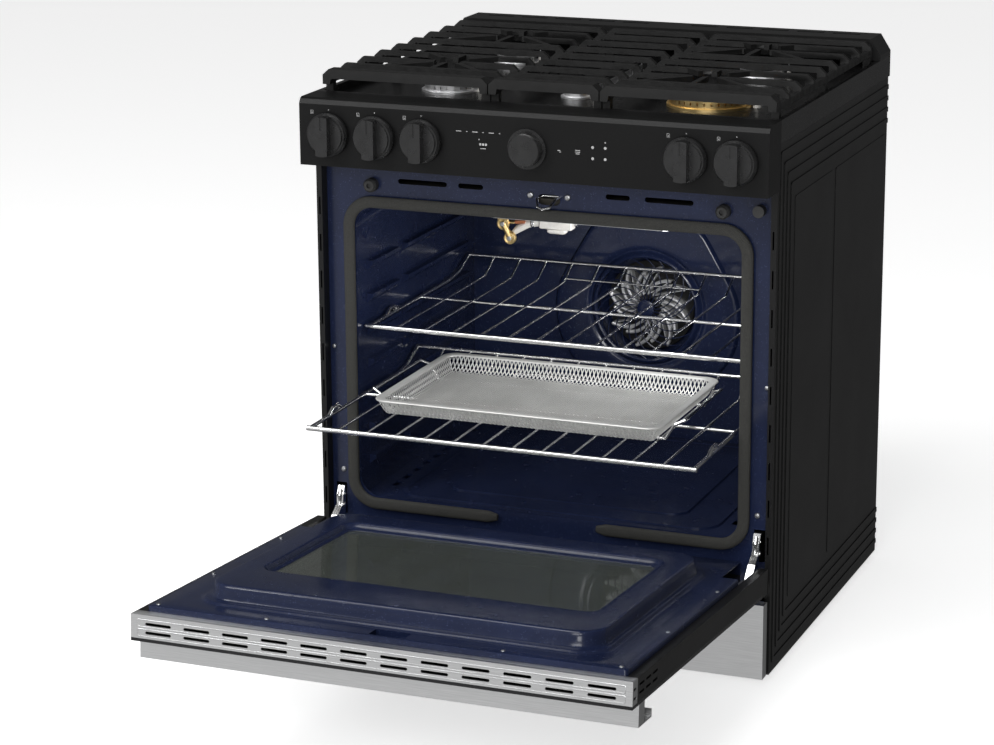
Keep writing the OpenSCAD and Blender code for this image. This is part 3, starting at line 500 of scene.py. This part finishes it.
cut_door(panel, [(HINGE_X0, HINGE_X1, *HINGE_CUT), (-HINGE_X1, -HINGE_X0, *HINGE_CUT),
                 (SLOT_X0, SLOT_X1, SLOT_Y0, SLOT_Y1, SLOT_Z0, SLOT_Z1)])
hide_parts("door_inner_panel")

# a closed pocket behind the latch opening: its back and four walls, 1 mm thick
POCKET_Y, POCKET_RIM = -336, -316.4
pocket = [
    block(SLOT_X0 - 1, SLOT_X1 + 1, POCKET_Y - 1, POCKET_Y, SLOT_Z0 - 1, SLOT_Z1 + 1, 0.2),
    block(SLOT_X0 - 1, SLOT_X0, POCKET_Y, POCKET_RIM, SLOT_Z0 - 1, SLOT_Z1 + 1, 0.2),
    block(SLOT_X1, SLOT_X1 + 1, POCKET_Y, POCKET_RIM, SLOT_Z0 - 1, SLOT_Z1 + 1, 0.2),
    block(SLOT_X0, SLOT_X1, POCKET_Y, POCKET_RIM, SLOT_Z0 - 1, SLOT_Z0, 0.2),
    block(SLOT_X0, SLOT_X1, POCKET_Y, POCKET_RIM, SLOT_Z1, SLOT_Z1 + 1, 0.2)]
add("latch_pocket", *merge(pocket), "enamel", "door", door=True)

TOP_SCREW = [(0, 0), (3.4, 0), (3.1, 1.0), (2.0, 1.5), (0, 1.6)]
SIDE_SCREW = [(0, 0), (3.0, 0), (2.8, 1.0), (1.8, 1.5), (0, 1.6)]
screws = [turned(TOP_SCREW, (x, PANEL_Y, 743), "Y", 20) for x in (-352, -180, 180, 352)]
screws += [turned(SIDE_SCREW, (x, PANEL_Y, z), "Y", 20) for z in (330, 560) for x in (-357, 357)]
add("door_screws", *merge(screws), "zinc", "door", door=True)

# the second pane and the frame that holds it, seen through the window
add("door_middle_pane", *block(-262, 262, -331, -327.5, 284, 600, 0.5), "window", "door", door=True)
frame_rings = [(256, 291, 592, 14, -306), (256, 291, 592, 14, -326), (270, 280, 604, 14, -326),
               (270, 280, 604, 14, -306)]
window_frame = loft([rect_loop(*ring) for ring in frame_rings], close=True)
add("door_window_frame", *window_frame, "zinc", "door", door=True)

# dark strips behind the outer glass, below and above the window
strips = [block(-377, 377, -359.4, -358.8, z0, z1, 0.2) for z0, z1 in ((174, 285), (598, 752))]
add("door_glass_backing", *merge(strips), "knob", "door", door=True)

# hinge claws: a bent hook over each arm, with its two rivets
HOOK = [(-301, 226, 1.8), (-309, 232, 3.0), (-315, 224, 3.4), (-311, 212, 3.0), (-318, 200, 2.6),
        (-326, 196, 1.6)]      # y, z, radius
for name, x in (("hinge_claw_left", -352), ("hinge_claw_right", 352)):
    claw = [tube([(x, y, z) for y, z, r in HOOK], [r for y, z, r in HOOK], 12),
            turned(pill(4.2, -7, 7, 0.6, 0.8), (x, -306, 206), "X", 20),
            turned(pill(2.9, -6.4, 6.4, 0.5, 0.6), (x, -303, 224), "X", 18)]
    add(name, *merge(claw), "chrome", "body")

# raised border round each row of vents in the silver trim: (inset, height) over the trim's top
TRIM_TOP = 775
BORDER = ((0, -0.4), (0, 0.2), (0.4, 0.45), (1.2, 0.45), (1.6, 0.2), (1.6, -0.4))
border = []
for y0, y1 in ((-357.2, -345.0), (-343.0, -330.8)):
    rings = [flat_loop(370 - g, y0 + g, y1 - g, 2.4, TRIM_TOP + h, 5) for g, h in BORDER]
    border.append(loft(rings, close=True))
add("trim_borders", *merge(border), "steel", "door", door=True)

# ---------------------------------------------------------------- gasket
def ring_path(x, z0, z1, r, step, start, end):
    """Points and outward normals along a rounded rectangle, anticlockwise, between two places on its foot."""
    corners = [((x - r, z0 + r), 270), ((x - r, z1 - r), 0), ((-x + r, z1 - r), 90), ((-x + r, z0 + r), 180)]
    sides = [((x, z0 + r), (x, z1 - r), (1, 0)), ((x - r, z1), (-x + r, z1), (0, 1)),
             ((-x, z1 - r), (-x, z0 + r), (-1, 0)), ((-x + r, z0), (end, z0), (0, -1))]
    pts = []

    def line(a, b, nrm):
        a, b = Vector(a), Vector(b)
        n = max(int((b - a).length / step), 1)
        for i in range(n):
            pts.append((a.lerp(b, i / n), Vector(nrm)))

    line((start, z0), (x - r, z0), (0, -1))
    corner_steps = max(int(r * math.pi / 2 / step), 6)
    for ((cx, cz), a0), side in zip(corners, sides):
        for i in range(corner_steps):
            a = math.radians(a0 + 90 * i / corner_steps)
            d = Vector((math.cos(a), math.sin(a)))
            pts.append((Vector((cx, cz)) + d * r, d))
        line(*side)
    pts.append((Vector((end, z0)), Vector((0, -1))))
    return pts


SEAL_Y = -304.3                     # middle of the gasket
SEAL_HALF_W, SEAL_HALF_T = 9.4, 5.2
SEAL_X, SEAL_Z0, SEAL_Z1, SEAL_R = 329.5, 214, 712.5, 40
SEAL_STEP = 5.0
GAP_X0, GAP_X1 = -80, 88            # the gap in its foot
TAPER = 4                           # sections over which each end of it closes up


def gasket_section(i, n):
    """Section i of n: a squared-off oval that narrows at both ends of the gasket."""
    k = min(i, n - 1 - i)
    s = 1.0 if k >= TAPER else (0.55 + 0.15 * k)
    out = []
    for a in range(16):
        t = a * math.tau / 16
        c, q = math.cos(t), math.sin(t)
        u = math.copysign(abs(c) ** 0.7, c) * SEAL_HALF_W * s
        v = math.copysign(abs(q) ** 0.8, q) * SEAL_HALF_T
        out.append((u, SEAL_Y + v * (1 if v > 0 else s)))
    return out


path = ring_path(SEAL_X, SEAL_Z0, SEAL_Z1, SEAL_R, SEAL_STEP, start=GAP_X1, end=GAP_X0)
sections = []
for i, (p, nrm) in enumerate(path):
    sections.append([(p.x + nrm.x * u, v, p.y + nrm.y * u) for u, v in gasket_section(i, len(path))])
seal = add("oven_seal", *loft(sections, caps=True), "gasket", "body")
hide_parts("oven_gasket")

# ---------------------------------------------------------------- convection fan and its pressed cover
FAN_Z = 449.0
# the cover's eight sides: the way each faces in X and Z, and its distance from the fan's centre
SIDES = [((0, 1), 150), ((0, -1), 118), ((0.86, 0.5), 158), ((-0.86, 0.5), 158), ((1, -0.06), 168),
         ((-1, -0.06), 168), ((0.8, -0.6), 170), ((-0.8, -0.6), 170)]
COVER_POINTS, SHARPNESS = 96, 22    # a higher sharpness gives the outline tighter corners


def fan_point(r, a, y):
    """The point at radius r and angle a about the fan's axis."""
    return (r * math.cos(a), y, FAN_Z + r * math.sin(a))


def cover_loop(radius, y):
    """A loop about the fan's axis: radius is a function of the angle."""
    turns = [k * math.tau / COVER_POINTS for k in range(COVER_POINTS)]
    return [fan_point(radius(a), a, y) for a in turns]


def outline(grow):
    """The cover's rounded eight-sided outline, moved outwards by grow."""
    def radius(a):
        total = 0.0
        for (nx, nz), dist in SIDES:
            along = (nx * math.cos(a) + nz * math.sin(a)) / math.hypot(nx, nz)
            if along > 0:
                total += (along / (dist + grow)) ** SHARPNESS
        return total ** (-1 / SHARPNESS)
    return radius


def circle(r):
    return lambda a: r


# the outer flange as (grow, y), then the groove and bead round the fan opening as (radius, y)
OUTER = ((0, 194.9), (-1, 193.5), (-2.5, 191), (-4, 189.2), (-6.5, 188.3), (-10, 188))
INNER = ((112, 188), (107, 188.2), (104.5, 189.6), (102.5, 191.2), (100.5, 191.4), (98.5, 190.2),
         (96.5, 187), (94, 184.4), (91.5, 183.6), (89.2, 184.6), (88.2, 187), (88, 192), (88, 195.5))
cover = [cover_loop(outline(grow), y) for grow, y in OUTER] + [cover_loop(circle(r), y) for r, y in INNER]
lid = add("fan_pressed_cover", *loft(cover), "enamel", "body")

GUARD_BARS, GUARD_STEPS, GUARD_SWEEP = 22, 12, math.radians(58)
GUARD_R0, GUARD_R1 = 15, 89
GUARD_Y, GUARD_BULGE, GUARD_WIRE = 187, 4.5, 1.0
guard = []
for k in range(GUARD_BARS):
    pts = []
    for i in range(GUARD_STEPS + 1):
        t = i / GUARD_STEPS
        r = GUARD_R0 + (GUARD_R1 - GUARD_R0) * t
        a = k * math.tau / GUARD_BARS + GUARD_SWEEP * t ** 1.3
        pts.append(fan_point(r, a, GUARD_Y - GUARD_BULGE * math.sin(math.pi * t)))
    guard.append(tube(pts, GUARD_WIRE, 8))
BOSS = [(0, 188.5), (13, 188.5), (15, 187.4), (15, 185.4), (13, 184.2), (6, 183.6), (0, 183.4)]
guard.append(turned(BOSS, (0, 0, FAN_Z), "Y", 40))
add("fan_guard", *merge(guard), "enamel", "body")
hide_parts("fan_cover")

DISC = [(3.1, 196), (11, 196), (12, 198), (12, 214), (20, 217), (77, 217), (78, 218), (77, 219), (3.1, 219)]
add("fan_disc", *turned(DISC, (0, 0, FAN_Z), "Y", 64), "body", "fan")

# curved blades, long and short by turns: a rounded front edge on a thin wall that reaches the disc
BLADES, BLADE_STEPS, BLADE_SWEEP = 16, 14, math.radians(40)
BLADE_R0, BLADE_LONG, BLADE_SHORT = 22, 74, 62
BLADE_Y0, BLADE_Y1, BLADE_HALF_T = 200, 217.3, 0.7
EDGE_OUT, EDGE_R, EDGE_GROWS = 0.5, 1.6, 1.4
LEAN = 2.5              # how far the front edge falls back towards the tip
blades = []
for k in range(BLADES):
    tip = BLADE_LONG if k % 2 else BLADE_SHORT
    edge, widths, strip = [], [], []
    for i in range(BLADE_STEPS + 1):
        t = i / BLADE_STEPS
        r = BLADE_R0 + (tip - BLADE_R0) * t
        a = k * math.tau / BLADES - BLADE_SWEEP * t ** 1.3
        edge.append(fan_point(r, a, BLADE_Y0 - EDGE_OUT + LEAN * t))
        widths.append(EDGE_R + EDGE_GROWS * min(1, 1.8 * i / BLADE_STEPS))
        strip.append((r, a, t))
    blades.append(tube(edge, widths, 10))
    wall = []
    for y, lean, w in ((BLADE_Y0, LEAN, -BLADE_HALF_T), (BLADE_Y0, LEAN, BLADE_HALF_T),
                       (BLADE_Y1, 0, BLADE_HALF_T), (BLADE_Y1, 0, -BLADE_HALF_T)):
        wall.append([fan_point(r, a + w / r, y + lean * t) for r, a, t in strip])
    blades.append(loft(wall, close=True))
rotor = add("fan_rotor", *merge(blades), "fan_steel", "fan")
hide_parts("convection_fan")

# ---------------------------------------------------------------- air-fry tray of expanded mesh
def mesh_sheet(grid, thick, wide):
    """Diamond mesh over a grid of points: every diamond is an opening with a strand round it."""
    verts, faces = [], []
    rows, cols = len(grid), len(grid[0])
    nrm = [[None] * cols for _ in range(rows)]
    for i in range(rows):
        for j in range(cols):
            du = Vector(grid[min(i + 1, rows - 1)][j]) - Vector(grid[max(i - 1, 0)][j])
            dv = Vector(grid[i][min(j + 1, cols - 1)]) - Vector(grid[i][max(j - 1, 0)])
            nrm[i][j] = du.cross(dv).normalized()

    def strand(a, b, na, nb):
        a, b = Vector(a), Vector(b)
        t = (b - a).normalized()
        o = len(verts)
        for p, n in ((a, na), (b, nb)):
            s = t.cross(n) * wide / 2
            h = n * thick / 2
            verts.extend([tuple(p + s + h), tuple(p - s + h), tuple(p - s - h), tuple(p + s - h)])
        for q in range(4):
            r = (q + 1) % 4
            faces.append((o + q, o + r, o + 4 + r, o + 4 + q))

    for i in range(rows - 1):
        for j in range(cols - 1):
            if (i + j) % 2 == 0:
                strand(grid[i][j], grid[i + 1][j + 1], nrm[i][j], nrm[i + 1][j + 1])
            else:
                strand(grid[i + 1][j], grid[i][j + 1], nrm[i + 1][j], nrm[i][j + 1])
    return verts, faces


# the tray's own box (mm), from the frame
tray_lo, tray_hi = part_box("air_fry_tray")
TX, TY0, TY1 = tray_hi[0] / MM, tray_lo[1] / MM, tray_hi[1] / MM
TZ0, TZ1 = tray_lo[2] / MM, tray_hi[2] / MM
CELL = 3.4
STRAND_T, STRAND_W = 0.8, 1.6
SHEET_X = 230.0                     # half width of the sheet, inside the rim
SHEET_IN = 12                       # from the tray's ends to the sheet
FLOOR_Z, EDGE_Z = TZ0 + 0.6, TZ1 - 1.2
WALL = 13.0                         # the sheet rises over this distance from its edge


def spread(a, b):
    n = max(int(round(abs(b - a) / CELL)), 1)
    return [a + (b - a) * i / n for i in range(n + 1)]


def tray_grid():
    """Rows across X and Y of the dished sheet: flat floor, a rounded foot, sloping walls."""
    y0, y1 = TY0 + SHEET_IN, TY1 - SHEET_IN
    xs = spread(-SHEET_X, SHEET_X)
    out = []
    for y in spread(y0, y1):
        row = []
        for x in xs:
            d = min(SHEET_X - abs(x), y - y0, y1 - y)
            t = min(max(d / WALL, 0.0), 1.0)
            row.append((x, y, FLOOR_Z + (EDGE_Z - FLOOR_Z) * (1 - t) ** 1.6))
        out.append(row)
    return out


sheet_mesh = add("tray_mesh", *mesh_sheet(tray_grid(), STRAND_T, STRAND_W), "mesh", "tray", smooth=False)

# the rolled rim: how far out each ring is from the rim's inner edge, and how far below its top
RIM_W = 13
RIM = ((0, 3.2), (0.3, 2.0), (1.2, 0.8), (3, 0.1), (10, 0.1), (12, 0.6), (13, 1.8), (12.6, 3.0),
       (11.4, 3.6), (10.4, 3.0), (10.4, 1.8), (9.4, 1.2), (3.4, 1.2), (2.0, 2.0), (1.4, 3.4))
rim_rings = []
for out, down in RIM:
    rest = RIM_W - out
    rim_rings.append(flat_loop(TX - rest, TY0 + rest, TY1 - rest, 18 + out * 0.5, TZ1 - down, 8))
add("tray_rim", *loft(rim_rings, close=True), "mesh", "tray")
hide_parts("air_fry_tray")

# ---------------------------------------------------------------- broil igniter group
IY = -60.0                          # depth of the group
LOBES = ((-158, 640), (-146, 617))  # centres of the bracket's two round lugs
LUG_R = 10.5
LUG = [(0, -17), (LUG_R - 3, -17), (LUG_R - 2, -17.6), (LUG_R - 0.8, -17.4), (LUG_R, -16), (LUG_R, -12),
       (LUG_R - 1, -11), (0, -11)]
bracket = [block(-168, -139, IY - 13, IY + 1, 641, 643.5, 0.5),
           block(-168, -164.5, IY - 15, IY + 3, 641, 671, 0.6)]
bracket += [turned(LUG, (x, IY, z), "Y", 32) for x, z in LOBES]
neck = [(-158, IY - 13.5, 640), (-152, IY - 13.5, 628.5), (-146, IY - 13.5, 617)]
bracket.append(tube(neck, [6, 5, 6], 12))
brass_piece = add("igniter_bracket", *merge(bracket), "brass", "body")
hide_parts("broil_igniter")
LUG_SCREW = [(0, -21), (3.2, -21), (4.4, -20), (4.4, -17), (0, -17)]
lug_screws = [turned(LUG_SCREW, (x, IY, z), "Y", 6) for x, z in LOBES]
add("igniter_screws", *merge(lug_screws), "zinc", "body")

white = [block(-96, -40, IY - 13, IY + 8, 636, 657, 1.4), block(-84, -52, IY - 10, IY + 5, 628, 637, 2.4),
         tube([(-146, IY - 6, 622), (-134, IY - 5, 632), (-118, IY - 4, 641), (-96, IY - 3, 646)],
              [4, 6.5, 7, 7.5], 16)]
add("igniter_ceramic", *merge(white), "ceramic", "body")
wires = [tube([(-158, IY - 8, 648), (-142, IY - 4, 654), (-118, IY - 2, 656), (-96, IY - 2, 653)],
              [2.2, 2.6, 2.6, 3], 10),
         tube([(-40, IY - 2, 648), (-10, IY - 2, 649), (20, IY - 2, 650), (40, IY - 1, 654), (48, IY, 662),
               (50, IY, 668)], 2.8, 12),
         turned(pill(6, 0, 8, 0.6, 1), (-40, IY - 2, 648), "X", 20),
         turned(pill(8, 0, 6, 0.6, 1), (-112, IY - 4, 643), "X", 20)]
add("igniter_leads", *merge(wires), "chrome", "body")
add("igniter_terminal", *tube([(-138, IY - 11, 644), (-122, IY - 10, 645.5)], 3.6, 10), "copper", "body")

# ---------------------------------------------------------------- burner details
# each burner's centre, and how far its spark post stands from it in X and Y
BURNERS = ((-213, -160, 50, 2), (-213, 130, 42, 2), (217, 130, 45, 2), (0, -182, 30, 30), (217, -150, 76, 2))
spark_at = [(x + dx, y + dy) for x, y, dx, dy in BURNERS]
POST = [(0, 872), (6.5, 872), (6.5, 874.5), (3.4, 875.5), (3.2, 887), (2.4, 888.5), (0, 888.5)]
PIN = [(0, 888), (1.1, 888), (1.1, 893), (0.6, 894.5), (0, 894.6)]
posts = [turned(POST, (x, y, 0), "Z", 20) for x, y in spark_at]
pins = [turned(PIN, (x, y, 0), "Z", 12) for x, y in spark_at]
add("spark_posts", *merge(posts), "ceramic", "body")
add("spark_pins", *merge(pins), "zinc", "body")

# ---------------------------------------------------------------- fascia legends
# generic bars and dots in place of the printed lettering: x, z, width and height of each bar
FASCIA_Y = -371.6
PRINT_OUT, PRINT_IN = -0.12, 0.3    # from the fascia's face: the print stands proud, and reaches into it
KNOB_X = (-330, -252, -174, 252, 330)
KNOB_DOT_Z, KNOB_DOT_R = 868.5, 0.9
SIGN_LEFT, SIGN_Z = 28, 864         # each burner's sign, to the left of its knob
STRIP_X, STRIP_Z, STRIP_PITCH = -112, 849.5, 13.4
BURNER_SIGN = ((0, 2.6, 4.6, 0.5), (0, -2.6, 4.6, 0.5), (-2.1, 0, 0.5, 4.8), (2.1, 0, 0.5, 4.8),
               (0, -0.6, 1.6, 1.6))
CLOCK = ((-78.5, 838.5, 1.6, 1.6), (-76.5, 831, 3.2, 3.6), (-71.9, 831, 3.2, 3.6), (-67.3, 831, 3.2, 3.6),
         (-72, 824.6, 9, 1.0))
LEGENDS = ((51, 830, 4.6, 1.2), (53, 827.8, 2.4, 1.0), (81, 832, 8, 1.1), (81, 829.4, 8, 1.1),
           (81, 826.8, 6, 1.1))
TOUCH_DOTS = ((105, 838, 2.2), (105, 821, 2.2), (125, 846.5, 1.1), (125, 838, 2.2), (125, 821, 2.2))
marks = []


def bar(x, z, w, h):
    marks.append(block(x - w / 2, x + w / 2, FASCIA_Y + PRINT_OUT, FASCIA_Y + PRINT_IN,
                       z - h / 2, z + h / 2, 0.04))


def dot(x, z, r):
    profile = [(0, PRINT_OUT), (r, PRINT_OUT), (r, PRINT_IN), (0, PRINT_IN)]
    marks.append(turned(profile, (x, FASCIA_Y, z), "Y", 16))


for x in KNOB_X:
    dot(x, KNOB_DOT_Z, KNOB_DOT_R)
    for dx, dz, w, h in BURNER_SIGN:
        bar(x - SIGN_LEFT + dx, SIGN_Z + dz, w, h)
for i in range(6):
    bar(STRIP_X + i * STRIP_PITCH, STRIP_Z, 2.0 if i % 2 else 8.5, 1.2)
for x, z, w, h in CLOCK + LEGENDS:
    bar(x, z, w, h)
for x, z, r in TOUCH_DOTS:
    dot(x, z, r)
add("fascia_marks", *merge(marks), "mark", "body")

# ---------------------------------------------------------------- screws on the front frame
FRAME_SCREWS = ((-23, 742, 5), (38, 742, 5), (-350, 264.5, 4.5), (350, 264.5, 4.5), (-362, 470, 3.6),
                (362, 470, 3.6), (-352, 170, 4), (352, 170, 4))     # x, z, radius
FRAME_Y = -299                      # outer face of the front frame
frame_heads = []
for x, z, r in FRAME_SCREWS:
    profile = [(0, -3), (r * 0.5, -3), (r * 0.8, -2.4), (r, -1), (r, 0), (0, 0)]
    frame_heads.append(turned(profile, (x, FRAME_Y, z), "Y", 24))
add("frame_screw_heads", *merge(frame_heads), "zinc", "body")

# ---------------------------------------------------------------- softened edges on the CAD nodes
# width of the rounding on each (mm)
BEVEL = {
    "cooktop_pan": 1.2, "rear_vent_trim": 1.0, "control_fascia": 0.8, "grate_left": 1.6, "grate_centre": 1.6,
    "grate_right": 1.6, "door_handle": 0.5, "drawer_front": 0.8, "door_top_trim": 0.3, "front_frame": 0.3,
    "burner_caps": 0.6, "burner_heads": 0.4, "brass_burner": 0.4, "selector_dial": 0.5, "hinge_arms": 0.8,
    "door_side_trims": 0.4, "side_panel_left": 0.5, "side_panel_right": 0.5, "oven_floor": 0.8,
}
KNOB_BEVEL = 0.6
BEVEL_ANGLE = math.radians(35)
shown = {n: o for n, o in nodes.items() if not o.hide_render}
for n, ob in shown.items():
    width = BEVEL.get(n, KNOB_BEVEL if n.startswith("knob_") else 0.0)
    for p in ob.data.polygons:
        p.use_smooth = True
    if width:
        mod = ob.modifiers.new("soft_edges", "BEVEL")
        mod.width = width * MM
        mod.segments = 2
        mod.limit_method = "ANGLE"
        mod.angle_limit = BEVEL_ANGLE
        mod.harden_normals = True

# ---------------------------------------------------------------- floor and light
FLOOR_SIZE, FLOOR_GAP = 60, 0.0005      # the gap keeps the floor clear of what stands at zero
FLOOR_GLOW = 0.68
bpy.ops.mesh.primitive_plane_add(size=FLOOR_SIZE, location=(0, 0, -FLOOR_GAP))
floor = bpy.context.object
floor.name = "stage_floor"
pale = Mat("stage_white", (0.9, 0.9, 0.9), 0.9)
pale.color_from(pale.noise(1.5), (0.895, 0.895, 0.895), (0.9, 0.9, 0.9))
pale.set("Emission Color", (1, 1, 1, 1))
pale.set("Emission Strength", FLOOR_GLOW)
floor.data.materials.append(pale.m)
floor.visible_glossy = False            # or steel and glass would reflect it as plain white

bpy.context.scene.view_settings.view_transform = "Standard"
world = bpy.data.worlds.new("studio")
bpy.context.scene.world = world
world.use_nodes = True
wt = world.node_tree


def sky_level(direction, stops):
    """Brightness by how near a ray runs to a direction: stops are (cosine, level)."""
    tc = wt.nodes.new("ShaderNodeTexCoord")
    cosine = wt.nodes.new("ShaderNodeVectorMath")
    cosine.operation = "DOT_PRODUCT"
    wt.links.new(tc.outputs["Generated"], cosine.inputs[0])
    cosine.inputs[1].default_value = Vector(direction).normalized()
    half = wt.nodes.new("ShaderNodeMapRange")
    half.inputs["From Min"].default_value = -1.0
    wt.links.new(cosine.outputs["Value"], half.inputs["Value"])
    r = wt.nodes.new("ShaderNodeValToRGB")
    e = r.color_ramp.elements
    while len(e) < len(stops):
        e.new(0.5)
    for el, (c, v) in zip(e, stops):
        el.position = (c + 1) / 2
        el.color = (v, v, v, 1)
    wt.links.new(half.outputs["Result"], r.inputs["Fac"])
    return r.outputs["Color"]


# brighter towards the light on the left, and white where the camera sees it
light_side = sky_level((-0.62, -0.75, -0.2), [(-0.4, 0.10), (0.3, 0.20), (0.88, 0.38), (0.985, 0.72)])
seen = wt.nodes.new("ShaderNodeLightPath")
pick = wt.nodes.new("ShaderNodeMix")
pick.data_type = "RGBA"
wt.links.new(seen.outputs["Is Camera Ray"], pick.inputs["Factor"])
wt.links.new(light_side, pick.inputs[6])
pick.inputs[7].default_value = (1, 1, 1, 1)
wt.links.new(pick.outputs[2], wt.nodes["Background"].inputs["Color"])


def area(name, at, to, size, power):
    """A soft rectangular light at one place (m), turned to another."""
    li = bpy.data.lights.new(name, "AREA")
    li.shape = "RECTANGLE"
    li.size, li.size_y = size
    li.energy = power
    ob = bpy.data.objects.new(name, li)
    ob.location = at
    ob.rotation_euler = (Vector(to) - Vector(at)).to_track_quat("-Z", "Y").to_euler()
    bpy.context.scene.collection.objects.link(ob)
    return ob


# the key light from the left, two from the front, one weak one inside the oven and one over the cooktop
area("key", (-3.0, -3.4, 3.2), (0, 0, 0.5), (1.6, 1.6), 90)
area("fill", (1.6, -4.6, 0.7), (-0.2, 0, 0.45), (1.0, 1.0), 24)
area("front", (0.9, -4.2, 2.2), (0, 0, 0.5), (2.2, 1.0), 52)
inner = area("cavity", (0.2, -0.2, 0.63), (-0.25, 0.0, 0.4), (0.25, 0.1), 1.25)
inner.visible_camera = False
area("top", (-0.5, -1.7, 3.2), (0, -0.2, 0.8), (2.4, 1.4), 55)
